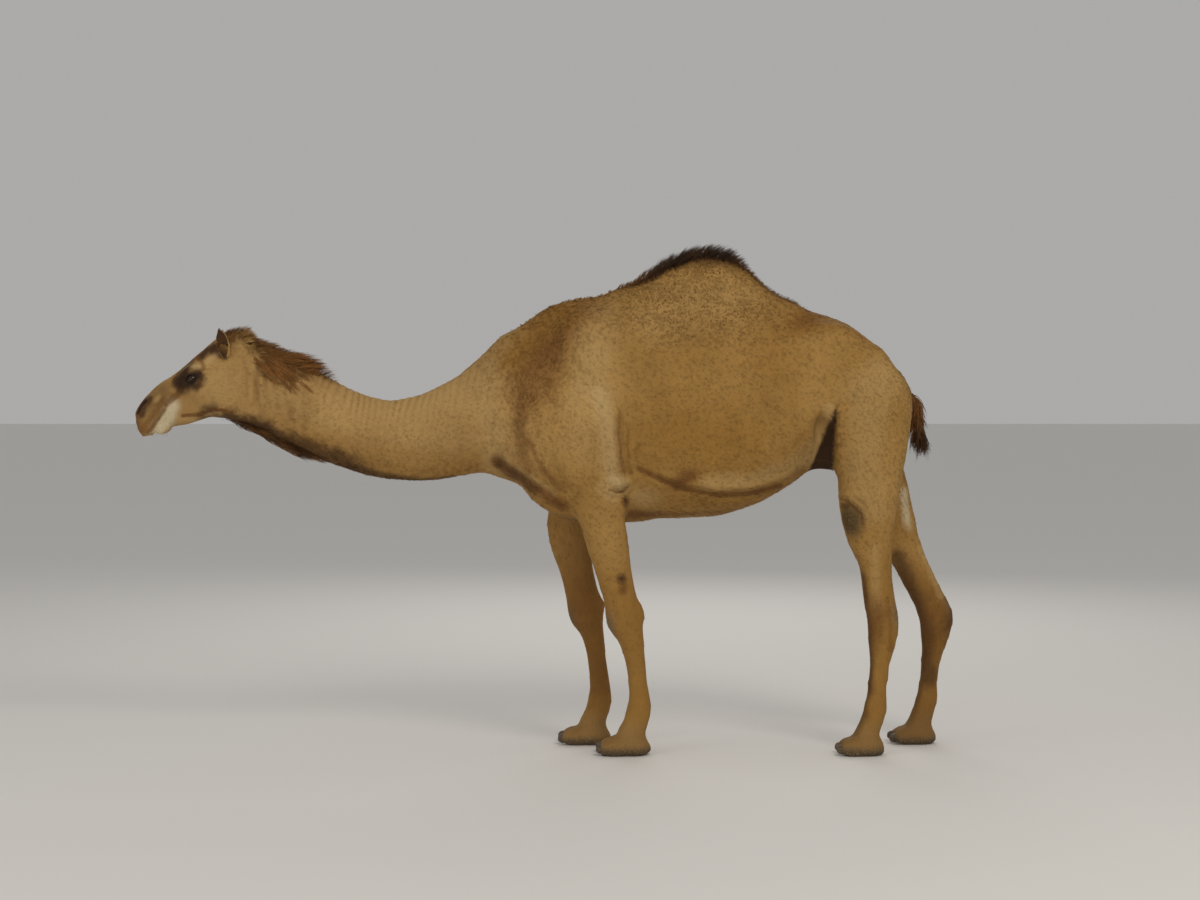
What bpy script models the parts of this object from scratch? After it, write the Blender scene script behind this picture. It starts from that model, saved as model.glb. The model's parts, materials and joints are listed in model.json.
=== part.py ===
"""A standing dromedary camel at life size, its neck reached forward and low.

The animal faces -X, its left side is -Y, and +Z is up. It stands on z = 0.
The flesh is modelled whole, from swept limbs and rounded muscles that flow
into each other, and is then parted into named pieces by thin cuts.
Everything is in metres. Stations and muscles are placed on a working X whose
zero is a little in front of the elbows; ORIGIN_X moves the whole animal so that
its origin is on the floor under the middle of its length.
"""

import math

import bmesh
import bpy
import numpy as np
import openvdb
from mathutils import Matrix, Vector

# ---- driving sizes ---------------------------------------------------------
ORIGIN_X = 0.004  # working X of the middle of the overall length
GAP = 0.0003  # clearance between two pieces that meet
BODY_STEP = 0.010  # grid of the body's modelling clay
HEAD_STEP = 0.005
SMALL_STEP = 0.0025  # ears, hair ridges and tail
BODY_TRIANGLES = 3450
HEAD_TRIANGLES = 1300
EAR_TRIANGLES = 120
HAIR_TRIANGLES = 120
FAR = 0.3  # distance held in empty space

HEAD_ROOT = (-1.188, 1.500)  # X and Z of the back of the skull
HEAD_PITCH = math.radians(27.8)  # how far the face points below level
EYE_PLACE = (0.198, 0.082, 0.087)  # along the head, outwards, above its axis
EYE_RADIUS = 0.0205
EAR_ROOT = (0.036, 0.080, 0.104)
EAR_TURN, EAR_LEAN, EAR_SPREAD = 32, -13, 14  # degrees

SIDES = {"left": -1, "right": 1}

# ---- where the flesh is parted: a point and the direction the cut faces -----
HEAD_CUT = ((-1.165, 0, 1.45), (0.987, 0, -0.159))
NECK_CUT = ((-0.650, 0, 1.25), (1.0, 0, 0.0))
BREAST_CUT = ((-0.190, 0, 1.30), (1.0, 0, 0.03))
GIRTH_CUT = ((0.455, 0, 1.30), (1.0, 0, 0.0))
FLANK_CUT = ((1.130, 0, 1.40), (1.0, 0, -0.08))
HUMP_CUT = ((0.650, 0, 1.812), (0.09, 0, 1.0))
THIGH_CUT = ((1.290, 0, 1.235), (0.0, 0, 1.0))
FORE_KNEE, FORELEG_TOP, FORE_LEAN = 0.53, 0.93, -12.5
HOCK, STIFLE = 0.53, 0.93
FOOT_TOP = 0.145

# ---- the trunk: x, top, bottom, height of the widest line, half width -------
TRUNK = [
    (-0.15, 1.645, 1.09, 1.36, 0.120),
    (-0.04, 1.750, 1.02, 1.35, 0.168),
    (0.06, 1.797, 0.975, 1.33, 0.200),
    (0.21, 1.822, 0.940, 1.31, 0.228),
    (0.37, 1.830, 0.928, 1.28, 0.262),
    (0.53, 1.815, 0.925, 1.26, 0.284),
    (0.69, 1.798, 0.940, 1.25, 0.298),
    (0.85, 1.785, 0.995, 1.28, 0.288),
    (0.97, 1.778, 1.060, 1.34, 0.266),
    (1.06, 1.747, 1.125, 1.40, 0.252),
    (1.15, 1.715, 1.170, 1.43, 0.232),
    (1.25, 1.668, 1.180, 1.44, 0.205),
    (1.33, 1.590, 1.200, 1.42, 0.165),
    (1.39, 1.520, 1.240, 1.38, 0.115),
]

# ---- the hump: x, top, height of the widest line, half width ----------------
HUMP = [
    (0.30, 1.846, 1.72, 0.060),
    (0.41, 1.895, 1.69, 0.095),
    (0.50, 1.945, 1.67, 0.120),
    (0.60, 1.978, 1.66, 0.138),
    (0.68, 1.976, 1.66, 0.142),
    (0.77, 1.945, 1.66, 0.134),
    (0.86, 1.872, 1.67, 0.112),
    (0.95, 1.806, 1.69, 0.078),
]
HUMP_DEPTH = 0.20

# ---- the neck, from the skull to the breast: x, z, above, below, half width --
NECK = [
    (-1.175, 1.475, 0.165, 0.150, 0.078),
    (-1.080, 1.420, 0.160, 0.165, 0.084),
    (-0.960, 1.365, 0.158, 0.165, 0.090),
    (-0.800, 1.290, 0.150, 0.160, 0.094),
    (-0.640, 1.245, 0.158, 0.162, 0.098),
    (-0.480, 1.255, 0.172, 0.180, 0.108),
    (-0.320, 1.300, 0.195, 0.200, 0.128),
    (-0.190, 1.340, 0.250, 0.235, 0.160),
    (-0.060, 1.375, 0.300, 0.260, 0.170),
]

# ---- the skull and muzzle, from the lips to the nape -----------------------
# along the head, height of the widest line, above it, below it, half width
HEAD = [
    (0.460, 0.028, 0.044, 0.044, 0.034),
    (0.444, 0.036, 0.059, 0.052, 0.044),
    (0.412, 0.040, 0.075, 0.064, 0.048),
    (0.370, 0.040, 0.090, 0.080, 0.048),
    (0.320, 0.042, 0.098, 0.100, 0.052),
    (0.270, 0.046, 0.097, 0.115, 0.062),
    (0.215, 0.055, 0.096, 0.144, 0.076),
    (0.150, 0.060, 0.108, 0.184, 0.086),
    (0.090, 0.055, 0.130, 0.205, 0.086),
    (0.030, 0.045, 0.140, 0.200, 0.080),
    (-0.030, 0.030, 0.140, 0.190, 0.072),
]

# ---- the legs, downwards: x, z, y, behind, before, half width ---------------
FORE_LEG = [
    (0.185, 1.120, 0.150, 0.110, 0.120, 0.085),
    (0.210, 1.010, 0.146, 0.104, 0.104, 0.078),
    (0.222, 0.928, 0.142, 0.092, 0.094, 0.070),
    (0.240, 0.850, 0.140, 0.086, 0.088, 0.064),
    (0.257, 0.771, 0.138, 0.078, 0.079, 0.058),
    (0.275, 0.692, 0.137, 0.069, 0.070, 0.054),
    (0.294, 0.610, 0.136, 0.066, 0.066, 0.057),
    (0.316, 0.530, 0.135, 0.064, 0.060, 0.060),
    (0.336, 0.450, 0.134, 0.050, 0.048, 0.050),
    (0.352, 0.360, 0.134, 0.041, 0.040, 0.038),
    (0.364, 0.260, 0.134, 0.041, 0.040, 0.038),
    (0.368, 0.185, 0.134, 0.050, 0.050, 0.048),
    (0.350, 0.120, 0.134, 0.050, 0.048, 0.050),
    (0.325, 0.070, 0.134, 0.055, 0.050, 0.060),
]
FORE_FOOT = (0.315, 0.134)
RIGHT_FORE_SHIFT = -0.155  # the right foreleg stands this far ahead

HIND_LEFT = [
    (1.235, 1.560, 0.110, 0.100, 0.110, 0.090),
    (1.275, 1.430, 0.125, 0.142, 0.130, 0.105),
    (1.292, 1.310, 0.135, 0.146, 0.146, 0.104),
    (1.280, 1.126, 0.142, 0.130, 0.136, 0.094),
    (1.272, 1.008, 0.146, 0.118, 0.124, 0.085),
    (1.272, 0.930, 0.148, 0.106, 0.112, 0.076),
    (1.280, 0.851, 0.148, 0.090, 0.094, 0.066),
    (1.295, 0.772, 0.147, 0.072, 0.072, 0.056),
    (1.304, 0.694, 0.146, 0.064, 0.064, 0.050),
    (1.313, 0.615, 0.145, 0.062, 0.061, 0.048),
    (1.325, 0.536, 0.144, 0.068, 0.060, 0.050),
    (1.327, 0.458, 0.143, 0.060, 0.058, 0.047),
    (1.318, 0.360, 0.142, 0.043, 0.043, 0.037),
    (1.308, 0.260, 0.142, 0.040, 0.040, 0.036),
    (1.302, 0.185, 0.142, 0.046, 0.046, 0.044),
    (1.282, 0.120, 0.142, 0.045, 0.045, 0.046),
    (1.262, 0.070, 0.142, 0.050, 0.048, 0.054),
]
HIND_LEFT_FOOT = (1.250, 0.142)

HIND_RIGHT = [
    (1.235, 1.560, 0.110, 0.100, 0.110, 0.090),
    (1.285, 1.430, 0.125, 0.138, 0.130, 0.105),
    (1.306, 1.310, 0.135, 0.140, 0.146, 0.104),
    (1.318, 1.126, 0.142, 0.130, 0.136, 0.094),
    (1.350, 1.008, 0.146, 0.125, 0.124, 0.085),
    (1.380, 0.930, 0.148, 0.112, 0.112, 0.076),
    (1.424, 0.840, 0.148, 0.092, 0.092, 0.066),
    (1.470, 0.755, 0.147, 0.070, 0.074, 0.056),
    (1.510, 0.670, 0.146, 0.066, 0.068, 0.050),
    (1.548, 0.595, 0.145, 0.066, 0.065, 0.048),
    (1.574, 0.520, 0.144, 0.080, 0.066, 0.050),
    (1.576, 0.445, 0.143, 0.062, 0.062, 0.047),
    (1.564, 0.360, 0.142, 0.043, 0.043, 0.037),
    (1.552, 0.260, 0.142, 0.040, 0.040, 0.036),
    (1.546, 0.185, 0.142, 0.046, 0.046, 0.044),
    (1.526, 0.120, 0.142, 0.045, 0.045, 0.046),
    (1.506, 0.070, 0.142, 0.050, 0.048, 0.054),
]
HIND_RIGHT_FOOT = (1.494, 0.142)

FEET = [
    ("fore_foot_left", FORE_FOOT[0], -FORE_FOOT[1], 1.04),
    ("fore_foot_right", FORE_FOOT[0] + RIGHT_FORE_SHIFT, FORE_FOOT[1], 1.04),
    ("hind_foot_left", HIND_LEFT_FOOT[0], -HIND_LEFT_FOOT[1], 0.92),
    ("hind_foot_right", HIND_RIGHT_FOOT[0], HIND_RIGHT_FOOT[1], 0.92),
]

# ---- tail and hair ---------------------------------------------------------
TAIL = [
    (1.325, 1.556, 0.0, 0.034, 0.040, 0.036),
    (1.396, 1.492, 0.0, 0.030, 0.034, 0.032),
    (1.448, 1.415, 0.0, 0.022, 0.022, 0.026),
    (1.474, 1.330, 0.0, 0.020, 0.020, 0.024),
]
TAIL_TUFT = [
    (1.474, 1.328, 0.0, 0.021, 0.021, 0.025),
    (1.486, 1.260, 0.0, 0.030, 0.024, 0.030),
    (1.496, 1.215, 0.0, 0.034, 0.028, 0.030),
    (1.506, 1.172, 0.0, 0.018, 0.016, 0.018),
]
MANE = [
    (-1.190, 1.640, 0.024, 0.060, 0.040),
    (-1.120, 1.606, 0.030, 0.070, 0.050),
    (-1.040, 1.560, 0.044, 0.080, 0.056),
    (-0.950, 1.530, 0.053, 0.080, 0.054),
    (-0.885, 1.492, 0.048, 0.070, 0.046),
    (-0.840, 1.452, 0.028, 0.050, 0.032),
]
THROAT = [
    (-1.300, 1.340, 0.030, 0.020, 0.030),
    (-1.235, 1.318, 0.040, 0.034, 0.040),
    (-1.170, 1.285, 0.050, 0.040, 0.046),
    (-1.100, 1.248, 0.050, 0.044, 0.050),
    (-1.040, 1.222, 0.050, 0.046, 0.050),
    (-0.970, 1.192, 0.050, 0.034, 0.046),
    (-0.900, 1.163, 0.040, 0.012, 0.036),
]
CREST = [
    (0.320, 1.850, 0.012, 0.050, 0.024),
    (0.400, 1.890, 0.030, 0.060, 0.034),
    (0.480, 1.942, 0.048, 0.060, 0.042),
    (0.560, 1.976, 0.060, 0.060, 0.048),
    (0.640, 1.987, 0.054, 0.060, 0.048),
    (0.720, 1.972, 0.048, 0.060, 0.046),
    (0.790, 1.932, 0.030, 0.060, 0.040),
    (0.860, 1.872, 0.020, 0.050, 0.032),
    (0.920, 1.824, 0.010, 0.040, 0.024),
]

# ---- rounded muscles and bones on the trunk, mirrored left and right --------
# name: centre x y z, radii x y z, pitch in degrees, blend
BODY_MUSCLES = {
    "shoulder blade": ((0.095, 0.135, 1.470), (0.140, 0.085, 0.290), 20, 0.09),
    "upper arm": ((0.150, 0.165, 1.215), (0.155, 0.080, 0.190), -12, 0.07),
    "shoulder point": ((-0.030, 0.125, 1.215), (0.105, 0.085, 0.130), 10, 0.08),
    "breast muscle": ((0.060, 0.075, 1.045), (0.150, 0.085, 0.095), 20, 0.07),
    "elbow": ((0.290, 0.150, 1.075), (0.040, 0.036, 0.042), 0, 0.04),
    "elbow callus": ((0.300, 0.152, 1.008), (0.024, 0.026, 0.036), 0, 0.02),
    "rib cage": ((0.500, 0.095, 1.330), (0.300, 0.180, 0.330), 0, 0.08),
    "paunch": ((0.680, 0.100, 1.170), (0.300, 0.195, 0.185), -8, 0.08),
    "hip bone": ((1.150, 0.155, 1.605), (0.110, 0.060, 0.085), 25, 0.10),
    "rump": ((1.215, 0.100, 1.455), (0.165, 0.115, 0.150), 42, 0.08),
    "seat bone": ((1.372, 0.085, 1.370), (0.055, 0.060, 0.090), 10, 0.06),
    "flank fold": ((1.130, 0.165, 1.330), (0.075, 0.050, 0.150), -14, 0.07),
    "groin": ((1.160, 0.060, 1.180), (0.110, 0.090, 0.060), 0, 0.06),
}
BODY_HOLLOWS = {
    "flank gap": ((1.098, 0.215, 1.185), (0.034, 0.085, 0.190), -8, 0.03),
    "flank": ((1.010, 0.300, 1.500), (0.130, 0.045, 0.140), 0, 0.09),
}
MID_MUSCLES = {
    "breast bone": ((0.180, 0.0, 1.000), (0.200, 0.085, 0.080), 8, 0.07),
    "chest pad": ((0.345, 0.0, 0.945), (0.095, 0.075, 0.032), 0, 0.02),
    "loin ridge": ((1.040, 0.0, 1.706), (0.170, 0.070, 0.040), 12, 0.05),
}
LEG_DETAILS = {
    "knee cap": ((0.268, 0.135, 0.530), (0.030, 0.046, 0.062), -12, 0.03),
    "pisiform": ((0.365, 0.136, 0.560), (0.022, 0.026, 0.034), 0, 0.03),
}

# ---- an ear that stands on its root, upwards, with its hollow towards -Y ----
EAR = [
    (0.000, -0.012, 0.000, 0.015, 0.015, 0.014),
    (0.000, 0.016, 0.000, 0.020, 0.021, 0.016),
    (0.000, 0.046, 0.000, 0.025, 0.025, 0.015),
    (0.000, 0.074, -0.002, 0.021, 0.020, 0.012),
    (0.001, 0.096, -0.004, 0.012, 0.012, 0.009),
    (0.002, 0.108, -0.005, 0.004, 0.004, 0.004),
]
EAR_HOLLOW = [
    (0.000, 0.020, -0.017, 0.009, 0.009, 0.010),
    (0.000, 0.046, -0.019, 0.018, 0.018, 0.014),
    (0.000, 0.074, -0.017, 0.014, 0.013, 0.011),
    (0.001, 0.094, -0.014, 0.006, 0.006, 0.007),
]

# ---- features of the head: along, outwards, above, radii, pitch, blend ------
HEAD_MUSCLES = {
    "brow": ((0.192, 0.066, 0.118), (0.050, 0.028, 0.020), 0, 0.03),
    "cheek bone": ((0.180, 0.070, 0.052), (0.065, 0.022, 0.024), -6, 0.04),
    "jaw muscle": ((0.120, 0.052, -0.020), (0.085, 0.046, 0.085), 20, 0.04),
    "jaw angle": ((0.075, 0.040, -0.075), (0.050, 0.032, 0.050), 0, 0.04),
    "upper lip": ((0.462, 0.022, 0.016), (0.032, 0.026, 0.046), 14, 0.018),
    "nose wing": ((0.410, 0.030, 0.078), (0.036, 0.018, 0.022), -25, 0.02),
    "lower lip": ((0.408, 0.016, -0.028), (0.034, 0.024, 0.022), 8, 0.014),
    "skull top": ((0.020, 0.030, 0.135), (0.070, 0.050, 0.048), 0, 0.03),
}
HEAD_HOLLOWS = {
    "temple": ((0.120, 0.104, 0.128), (0.045, 0.018, 0.022), 10, 0.03),
    "face side": ((0.305, 0.073, 0.060), (0.070, 0.016, 0.034), 0, 0.03),
    "nostril": ((0.436, 0.044, 0.088), (0.030, 0.012, 0.0050), -28, 0.006),
    "mouth": ((0.405, 0.048, 0.008), (0.072, 0.016, 0.0040), -26, 0.006),
}


def smooth_path(stations, steps=10):
    """The stations joined by a Catmull-Rom curve, as one row of values for each point."""
    rows = np.array(stations, float)
    padded = np.vstack([2 * rows[0] - rows[1], rows, 2 * rows[-1] - rows[-2]])
    made = []
    for i in range(1, len(padded) - 2):
        before, start, end, after = padded[i - 1 : i + 3]
        for t in np.linspace(0, 1, steps, endpoint=False):
            made.append(
                0.5
                * (
                    2 * start
                    + (end - before) * t
                    + (2 * before - 5 * start + 4 * end - after) * t**2
                    + (3 * start - before - 3 * end + after) * t**3
                )
            )
    made.append(rows[-1])
    return np.array(made)


class Sweep:
    """A limb: oval sections along a line that bends in the X-Z plane.

    Each station is x, z, y, the reach on the upper or hinder side, the reach on
    the other side, and the half width. A station list runs backwards or downwards.
    """

    def __init__(self, stations, cap=None):
        self.path = smooth_path(stations)
        self.cap = cap
        reach = self.path[:, 3:].max() + 0.12
        x, z, y = self.path[:, 0], self.path[:, 1], self.path[:, 2]
        self.low = (x.min() - reach, y.min() - reach, z.min() - reach)
        self.high = (x.max() + reach, y.max() + reach, z.max() + reach)

    def distance(self, x, y, z):
        flat_x, flat_z = (a.ravel() for a in np.broadcast_arrays(x[:, 0], z[:, 0]))
        start, end = self.path[:-1], self.path[1:]
        run = end[:, :2] - start[:, :2]
        length = np.linalg.norm(run, axis=1)
        along = run / length[:, None]
        dx = flat_x[:, None] - start[None, :, 0]
        dz = flat_z[:, None] - start[None, :, 1]
        went = dx * along[:, 0] + dz * along[:, 1]
        held = np.clip(went, 0, length)
        miss = (dx - held * along[:, 0]) ** 2 + (dz - held * along[:, 1]) ** 2
        nearest = miss.argmin(axis=1)
        row = np.arange(len(nearest))
        share = (held[row, nearest] / length[nearest])[:, None]
        section = start[nearest] * (1 - share) + end[nearest] * share
        side = dz[row, nearest] * along[nearest, 0] - dx[row, nearest] * along[nearest, 1]
        beyond = went[row, nearest] - held[row, nearest]
        reach = np.where(side > 0, section[:, 3], section[:, 4])
        wide = section[:, 5]
        cap = wide if self.cap is None else np.full_like(wide, self.cap)
        shape = (x.shape[0], 1, z.shape[2])
        side, beyond, reach, wide, cap, middle = (
            a.reshape(shape) for a in (side, beyond, reach, wide, cap, section[:, 2])
        )
        return oval((side, y - middle, beyond), (reach, wide, cap))


class Barrel:
    """Upright oval sections along X, with flat or rounded ends.

    Each station is x, top, bottom, the height of the widest line, the half width.
    """

    def __init__(self, stations, cap):
        self.path, self.cap = smooth_path(stations), cap
        x, top, bottom, _, wide = self.path.T
        room = 0.12
        self.low = (x[0] - room, -wide.max() - room, bottom.min() - room)
        self.high = (x[-1] + room, wide.max() + room, top.max() + room)

    def distance(self, x, y, z):
        nearest = np.clip(x, self.path[0, 0], self.path[-1, 0])
        top, bottom, middle, wide = (
            np.interp(nearest, self.path[:, 0], self.path[:, i]) for i in range(1, 5)
        )
        reach = np.where(z > middle, top - middle, middle - bottom)
        return oval((z - middle, y, x - nearest), (reach, wide, self.cap))


class Ball:
    """An ellipsoid, pitched about Y: a positive pitch raises its forward end."""

    def __init__(self, centre, radii, pitch=0.0, roll=0.0):
        self.centre, self.radii = centre, radii
        turn = Matrix.Rotation(math.radians(pitch), 3, "Y")
        self.turn = np.array(turn @ Matrix.Rotation(math.radians(roll), 3, "X"))
        reach = max(radii) + 0.12
        self.low = tuple(c - reach for c in centre)
        self.high = tuple(c + reach for c in centre)

    def distance(self, x, y, z):
        dx, dy, dz = x - self.centre[0], y - self.centre[1], z - self.centre[2]
        local = [
            dx * self.turn[0, i] + dy * self.turn[1, i] + dz * self.turn[2, i]
            for i in range(3)
        ]
        return oval(local, self.radii)


def oval(offsets, radii):
    """Near the surface, the distance to an ellipsoid with these radii."""
    near = sum((o / r) ** 2 for o, r in zip(offsets, radii, strict=True)) ** 0.5
    slope = sum((o / r**2) ** 2 for o, r in zip(offsets, radii, strict=True)) ** 0.5
    return near * (near - 1) / np.maximum(slope, 1e-6)


class Clay:
    """A block of space on a regular grid that holds the distance to the surface."""

    def __init__(self, low, high, step):
        self.low, self.step = np.array(low, float), step
        counts = np.ceil((np.array(high) - self.low) / step).astype(int)
        self.axes = [low[i] + step * np.arange(counts[i]) for i in range(3)]
        self.field = np.full(counts, FAR, np.float32)

    def window(self, form):
        """The part of the grid that a form can change, and its coordinates."""
        cut = tuple(
            slice(*np.searchsorted(self.axes[i], (form.low[i], form.high[i])))
            for i in range(3)
        )
        x, y, z = (self.axes[i][cut[i]] for i in range(3))
        return cut, (x[:, None, None], y[None, :, None], z[None, None, :])

    def blended(self, form, blend, sign):
        cut, places = self.window(form)
        old = self.field[cut] * sign
        if old.size == 0:
            return
        new = form.distance(*places)
        share = np.clip(0.5 + 0.5 * (new - old) / blend, 0, 1)
        mixed = new * (1 - share) + old * share - blend * share * (1 - share)
        self.field[cut] = mixed * sign

    def add(self, form, blend=0.02):
        self.blended(form, blend, 1)

    def carve(self, form, blend=0.01):
        self.blended(form, blend, -1)

    def mesh_object(self, name, triangles, part_of):
        """The surface as a closed mesh, thinned to about this many triangles."""
        grid = openvdb.FloatGrid(FAR)
        grid.copyFromArray(self.field)
        points, quads = grid.convertToQuads(isovalue=0.0)
        mesh = bpy.data.meshes.new(name)
        mesh.from_pydata(points * self.step + self.low, [], quads.tolist())
        bm = bmesh.new()
        bm.from_mesh(mesh)
        keep_largest(bm)
        bmesh.ops.recalc_face_normals(bm, faces=bm.faces)
        bm.to_mesh(mesh)
        bm.free()
        obj = bpy.data.objects.new(name, mesh)
        part_of.objects.link(obj)
        thin = obj.modifiers.new("Thin", "DECIMATE")
        thin.ratio = min(1.0, triangles / (2 * len(mesh.polygons)))
        return baked(obj)


def keep_largest(bm):
    """Removes all but the largest connected shell."""
    left, best = set(bm.verts), set()
    while left:
        shell, todo = set(), [left.pop()]
        while todo:
            vert = todo.pop()
            shell.add(vert)
            for edge in vert.link_edges:
                other = edge.other_vert(vert)
                if other in left:
                    left.discard(other)
                    todo.append(other)
        if len(shell) > len(best):
            best = shell
    stray = [v for v in bm.verts if v not in best]
    bmesh.ops.delete(bm, geom=stray, context="VERTS")


def baked(obj):
    """The object with its modifiers applied."""
    bpy.context.view_layer.update()
    graph = bpy.context.evaluated_depsgraph_get()
    mesh = bpy.data.meshes.new_from_object(obj.evaluated_get(graph))
    obj.modifiers.clear()
    obj.data = mesh
    return obj


# ---- placing things on the head ---------------------------------------------
def on_head(along, outwards, above):
    """The place of a point of the head, given in the head's own directions."""
    x = HEAD_ROOT[0] - along * math.cos(HEAD_PITCH) - above * math.sin(HEAD_PITCH)
    z = HEAD_ROOT[1] - along * math.sin(HEAD_PITCH) + above * math.cos(HEAD_PITCH)
    return (x, outwards, z)


def head_ball(side, place, radii, pitch):
    along, outwards, above = place
    return Ball(
        on_head(along, side * outwards, above), radii, pitch - math.degrees(HEAD_PITCH)
    )


def head_sweep():
    stations = []
    for along, middle, above, below, wide in HEAD:
        x, _, z = on_head(along, 0, middle)
        stations.append((x, z, 0, above, below, wide))
    return Sweep(stations, cap=0.020)


# ---- the flesh --------------------------------------------------------------
def model_head(clay):
    clay.add(head_sweep(), 0.05)
    for side in SIDES.values():
        for place, radii, pitch, blend in HEAD_MUSCLES.values():
            clay.add(head_ball(side, place, radii, pitch), blend)
    for side in SIDES.values():
        for place, radii, pitch, blend in HEAD_HOLLOWS.values():
            clay.carve(head_ball(side, place, radii, pitch), blend)


def model_neck(clay):
    stations = [(x, z, 0, above, below, wide) for x, z, above, below, wide in NECK]
    clay.add(Sweep(stations), 0.05)


def model_trunk(clay):
    clay.add(Barrel(TRUNK, cap=0.06), 0.10)
    hump = [(x, top, mid - HUMP_DEPTH, mid, wide) for x, top, mid, wide in HUMP]
    clay.add(Barrel(hump, cap=0.05), 0.07)
    for centre, radii, pitch, blend in MID_MUSCLES.values():
        clay.add(Ball(centre, radii, pitch), blend)
    for side in SIDES.values():
        for (x, y, z), radii, pitch, blend in BODY_MUSCLES.values():
            shift = RIGHT_FORE_SHIFT if side > 0 and z < 1.08 and 0.2 < x < 0.4 else 0
            clay.add(Ball((x + shift, side * y, z), radii, pitch), blend)


def carve_trunk(clay):
    for side in SIDES.values():
        for (x, y, z), radii, pitch, blend in BODY_HOLLOWS.values():
            clay.carve(Ball((x, side * y, z), radii, pitch), blend)


def leg_stations(stations, side, shift=0.0, fixed_above=1.1):
    """One leg's stations on its side, slid forwards where it is clear of the trunk."""
    made = []
    for x, z, y, behind, before, wide in stations:
        slide = shift * min(1.0, max(0.0, (fixed_above - z) / 0.2))
        made.append((x + slide, z, side * y, behind, before, wide))
    return made


def model_foot(clay, x, y, size):
    """A broad pad with two toes in front."""
    clay.add(Ball((x + 0.018, y, 0.026), (0.082 * size, 0.078 * size, 0.040)), 0.03)
    for toe in (-1, 1):
        place = (x - 0.050 * size, y + toe * 0.040 * size, 0.030)
        clay.add(Ball(place, (0.058 * size, 0.041 * size, 0.036), -10), 0.016)


def model_legs(clay):
    for side in SIDES.values():
        shift = RIGHT_FORE_SHIFT if side > 0 else 0.0
        clay.add(Sweep(leg_stations(FORE_LEG, side, shift), cap=0.03), 0.045)
        model_foot(clay, FORE_FOOT[0] + shift, side * FORE_FOOT[1], 1.04)
        for (x, y, z), radii, pitch, blend in LEG_DETAILS.values():
            clay.add(Ball((x + shift, side * y, z), radii, pitch), blend)
    for side, stations, foot in (
        (-1, HIND_LEFT, HIND_LEFT_FOOT),
        (1, HIND_RIGHT, HIND_RIGHT_FOOT),
    ):
        clay.add(Sweep(leg_stations(stations, side), cap=0.03), 0.05)
        model_foot(clay, foot[0], side * foot[1], 0.92)


def ear_object(label, side, part_of):
    """A cupped leaf on the skull, its hollow turned out and forwards."""
    clay = Clay((-0.04, -0.04, -0.03), (0.04, 0.04, 0.13), SMALL_STEP)
    for stations, work in ((EAR, clay.add), (EAR_HOLLOW, clay.carve)):
        turned = [(x, z, -side * y, back, front, wide) for x, z, y, back, front, wide in stations]
        work(Sweep(turned, cap=0.006), 0.004)
    ear = clay.mesh_object("ear_" + label, EAR_TRIANGLES, part_of)
    place = Matrix.Translation(on_head(EAR_ROOT[0], side * EAR_ROOT[1], EAR_ROOT[2]))
    lean = Matrix.Rotation(math.radians(EAR_LEAN), 4, "Y")
    spread = Matrix.Rotation(math.radians(-side * EAR_SPREAD), 4, "X")
    turn = Matrix.Rotation(math.radians(side * EAR_TURN), 4, "Z")
    ear.data.transform(place @ lean @ spread @ turn)
    return ear


# ---- cutting ----------------------------------------------------------------
def sliced(obj, name, point, normal, part_of):
    """A copy of the part of obj that lies behind the plane, with the cut closed."""
    bm = bmesh.new()
    bm.from_mesh(obj.data)
    normal = Vector(normal).normalized()
    cut = bmesh.ops.bisect_plane(
        bm,
        geom=bm.verts[:] + bm.edges[:] + bm.faces[:],
        plane_co=Vector(point) - normal * GAP / 2,
        plane_no=normal,
        clear_outer=True,
    )
    rim = [e for e in cut["geom_cut"] if isinstance(e, bmesh.types.BMEdge)]
    bmesh.ops.holes_fill(bm, edges=[e for e in rim if e.is_boundary], sides=0)
    bmesh.ops.dissolve_degenerate(bm, edges=bm.edges, dist=1e-5)
    bmesh.ops.triangulate(bm, faces=bm.faces)
    mesh = bpy.data.meshes.new(name)
    bm.to_mesh(mesh)
    bm.free()
    made = bpy.data.objects.new(name, mesh)
    part_of.objects.link(made)
    return made


def block(name, low, high, pitch, cutters):
    """A box-shaped cutter, pitched about the Y axis through its middle."""
    bm = bmesh.new()
    bmesh.ops.create_cube(bm, size=1.0)
    middle = (Vector(low) + Vector(high)) / 2
    bmesh.ops.scale(bm, vec=Vector(high) - Vector(low), verts=bm.verts)
    turn = Matrix.Rotation(math.radians(pitch), 3, "Y")
    bmesh.ops.rotate(bm, cent=(0, 0, 0), matrix=turn, verts=bm.verts)
    bmesh.ops.translate(bm, vec=middle, verts=bm.verts)
    mesh = bpy.data.meshes.new(name)
    bm.to_mesh(mesh)
    bm.free()
    return as_cutter(bpy.data.objects.new(name, mesh), cutters)


def as_cutter(obj, cutters):
    cutters.objects.link(obj)
    obj.hide_render = True
    obj.display_type = "WIRE"
    return obj


def boolean(obj, cutter, operation, solver="EXACT"):
    cut = obj.modifiers.new(cutter.name, "BOOLEAN")
    cut.operation = operation
    cut.solver = solver
    cut.object = cutter
    return baked(obj)


def swollen(obj, name, amount, cutters):
    """A cutter a little larger than obj, so that what it cuts clears obj."""
    mesh = obj.data.copy()
    copy = as_cutter(bpy.data.objects.new(name, mesh), cutters)
    grow = copy.modifiers.new("Grow", "DISPLACE")
    grow.strength = amount
    grow.mid_level = 0.0
    return baked(copy)


def parted(obj, name, cutter, cutters, part_of):
    """Takes the piece of obj inside the cutter out of it, and returns that piece."""
    piece = bpy.data.objects.new(name, obj.data.copy())
    part_of.objects.link(piece)
    boolean(piece, cutter, "INTERSECT")
    wider = swollen(cutter, cutter.name + " gap", GAP * 1.8, cutters)
    boolean(obj, wider, "DIFFERENCE")
    return piece


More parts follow.
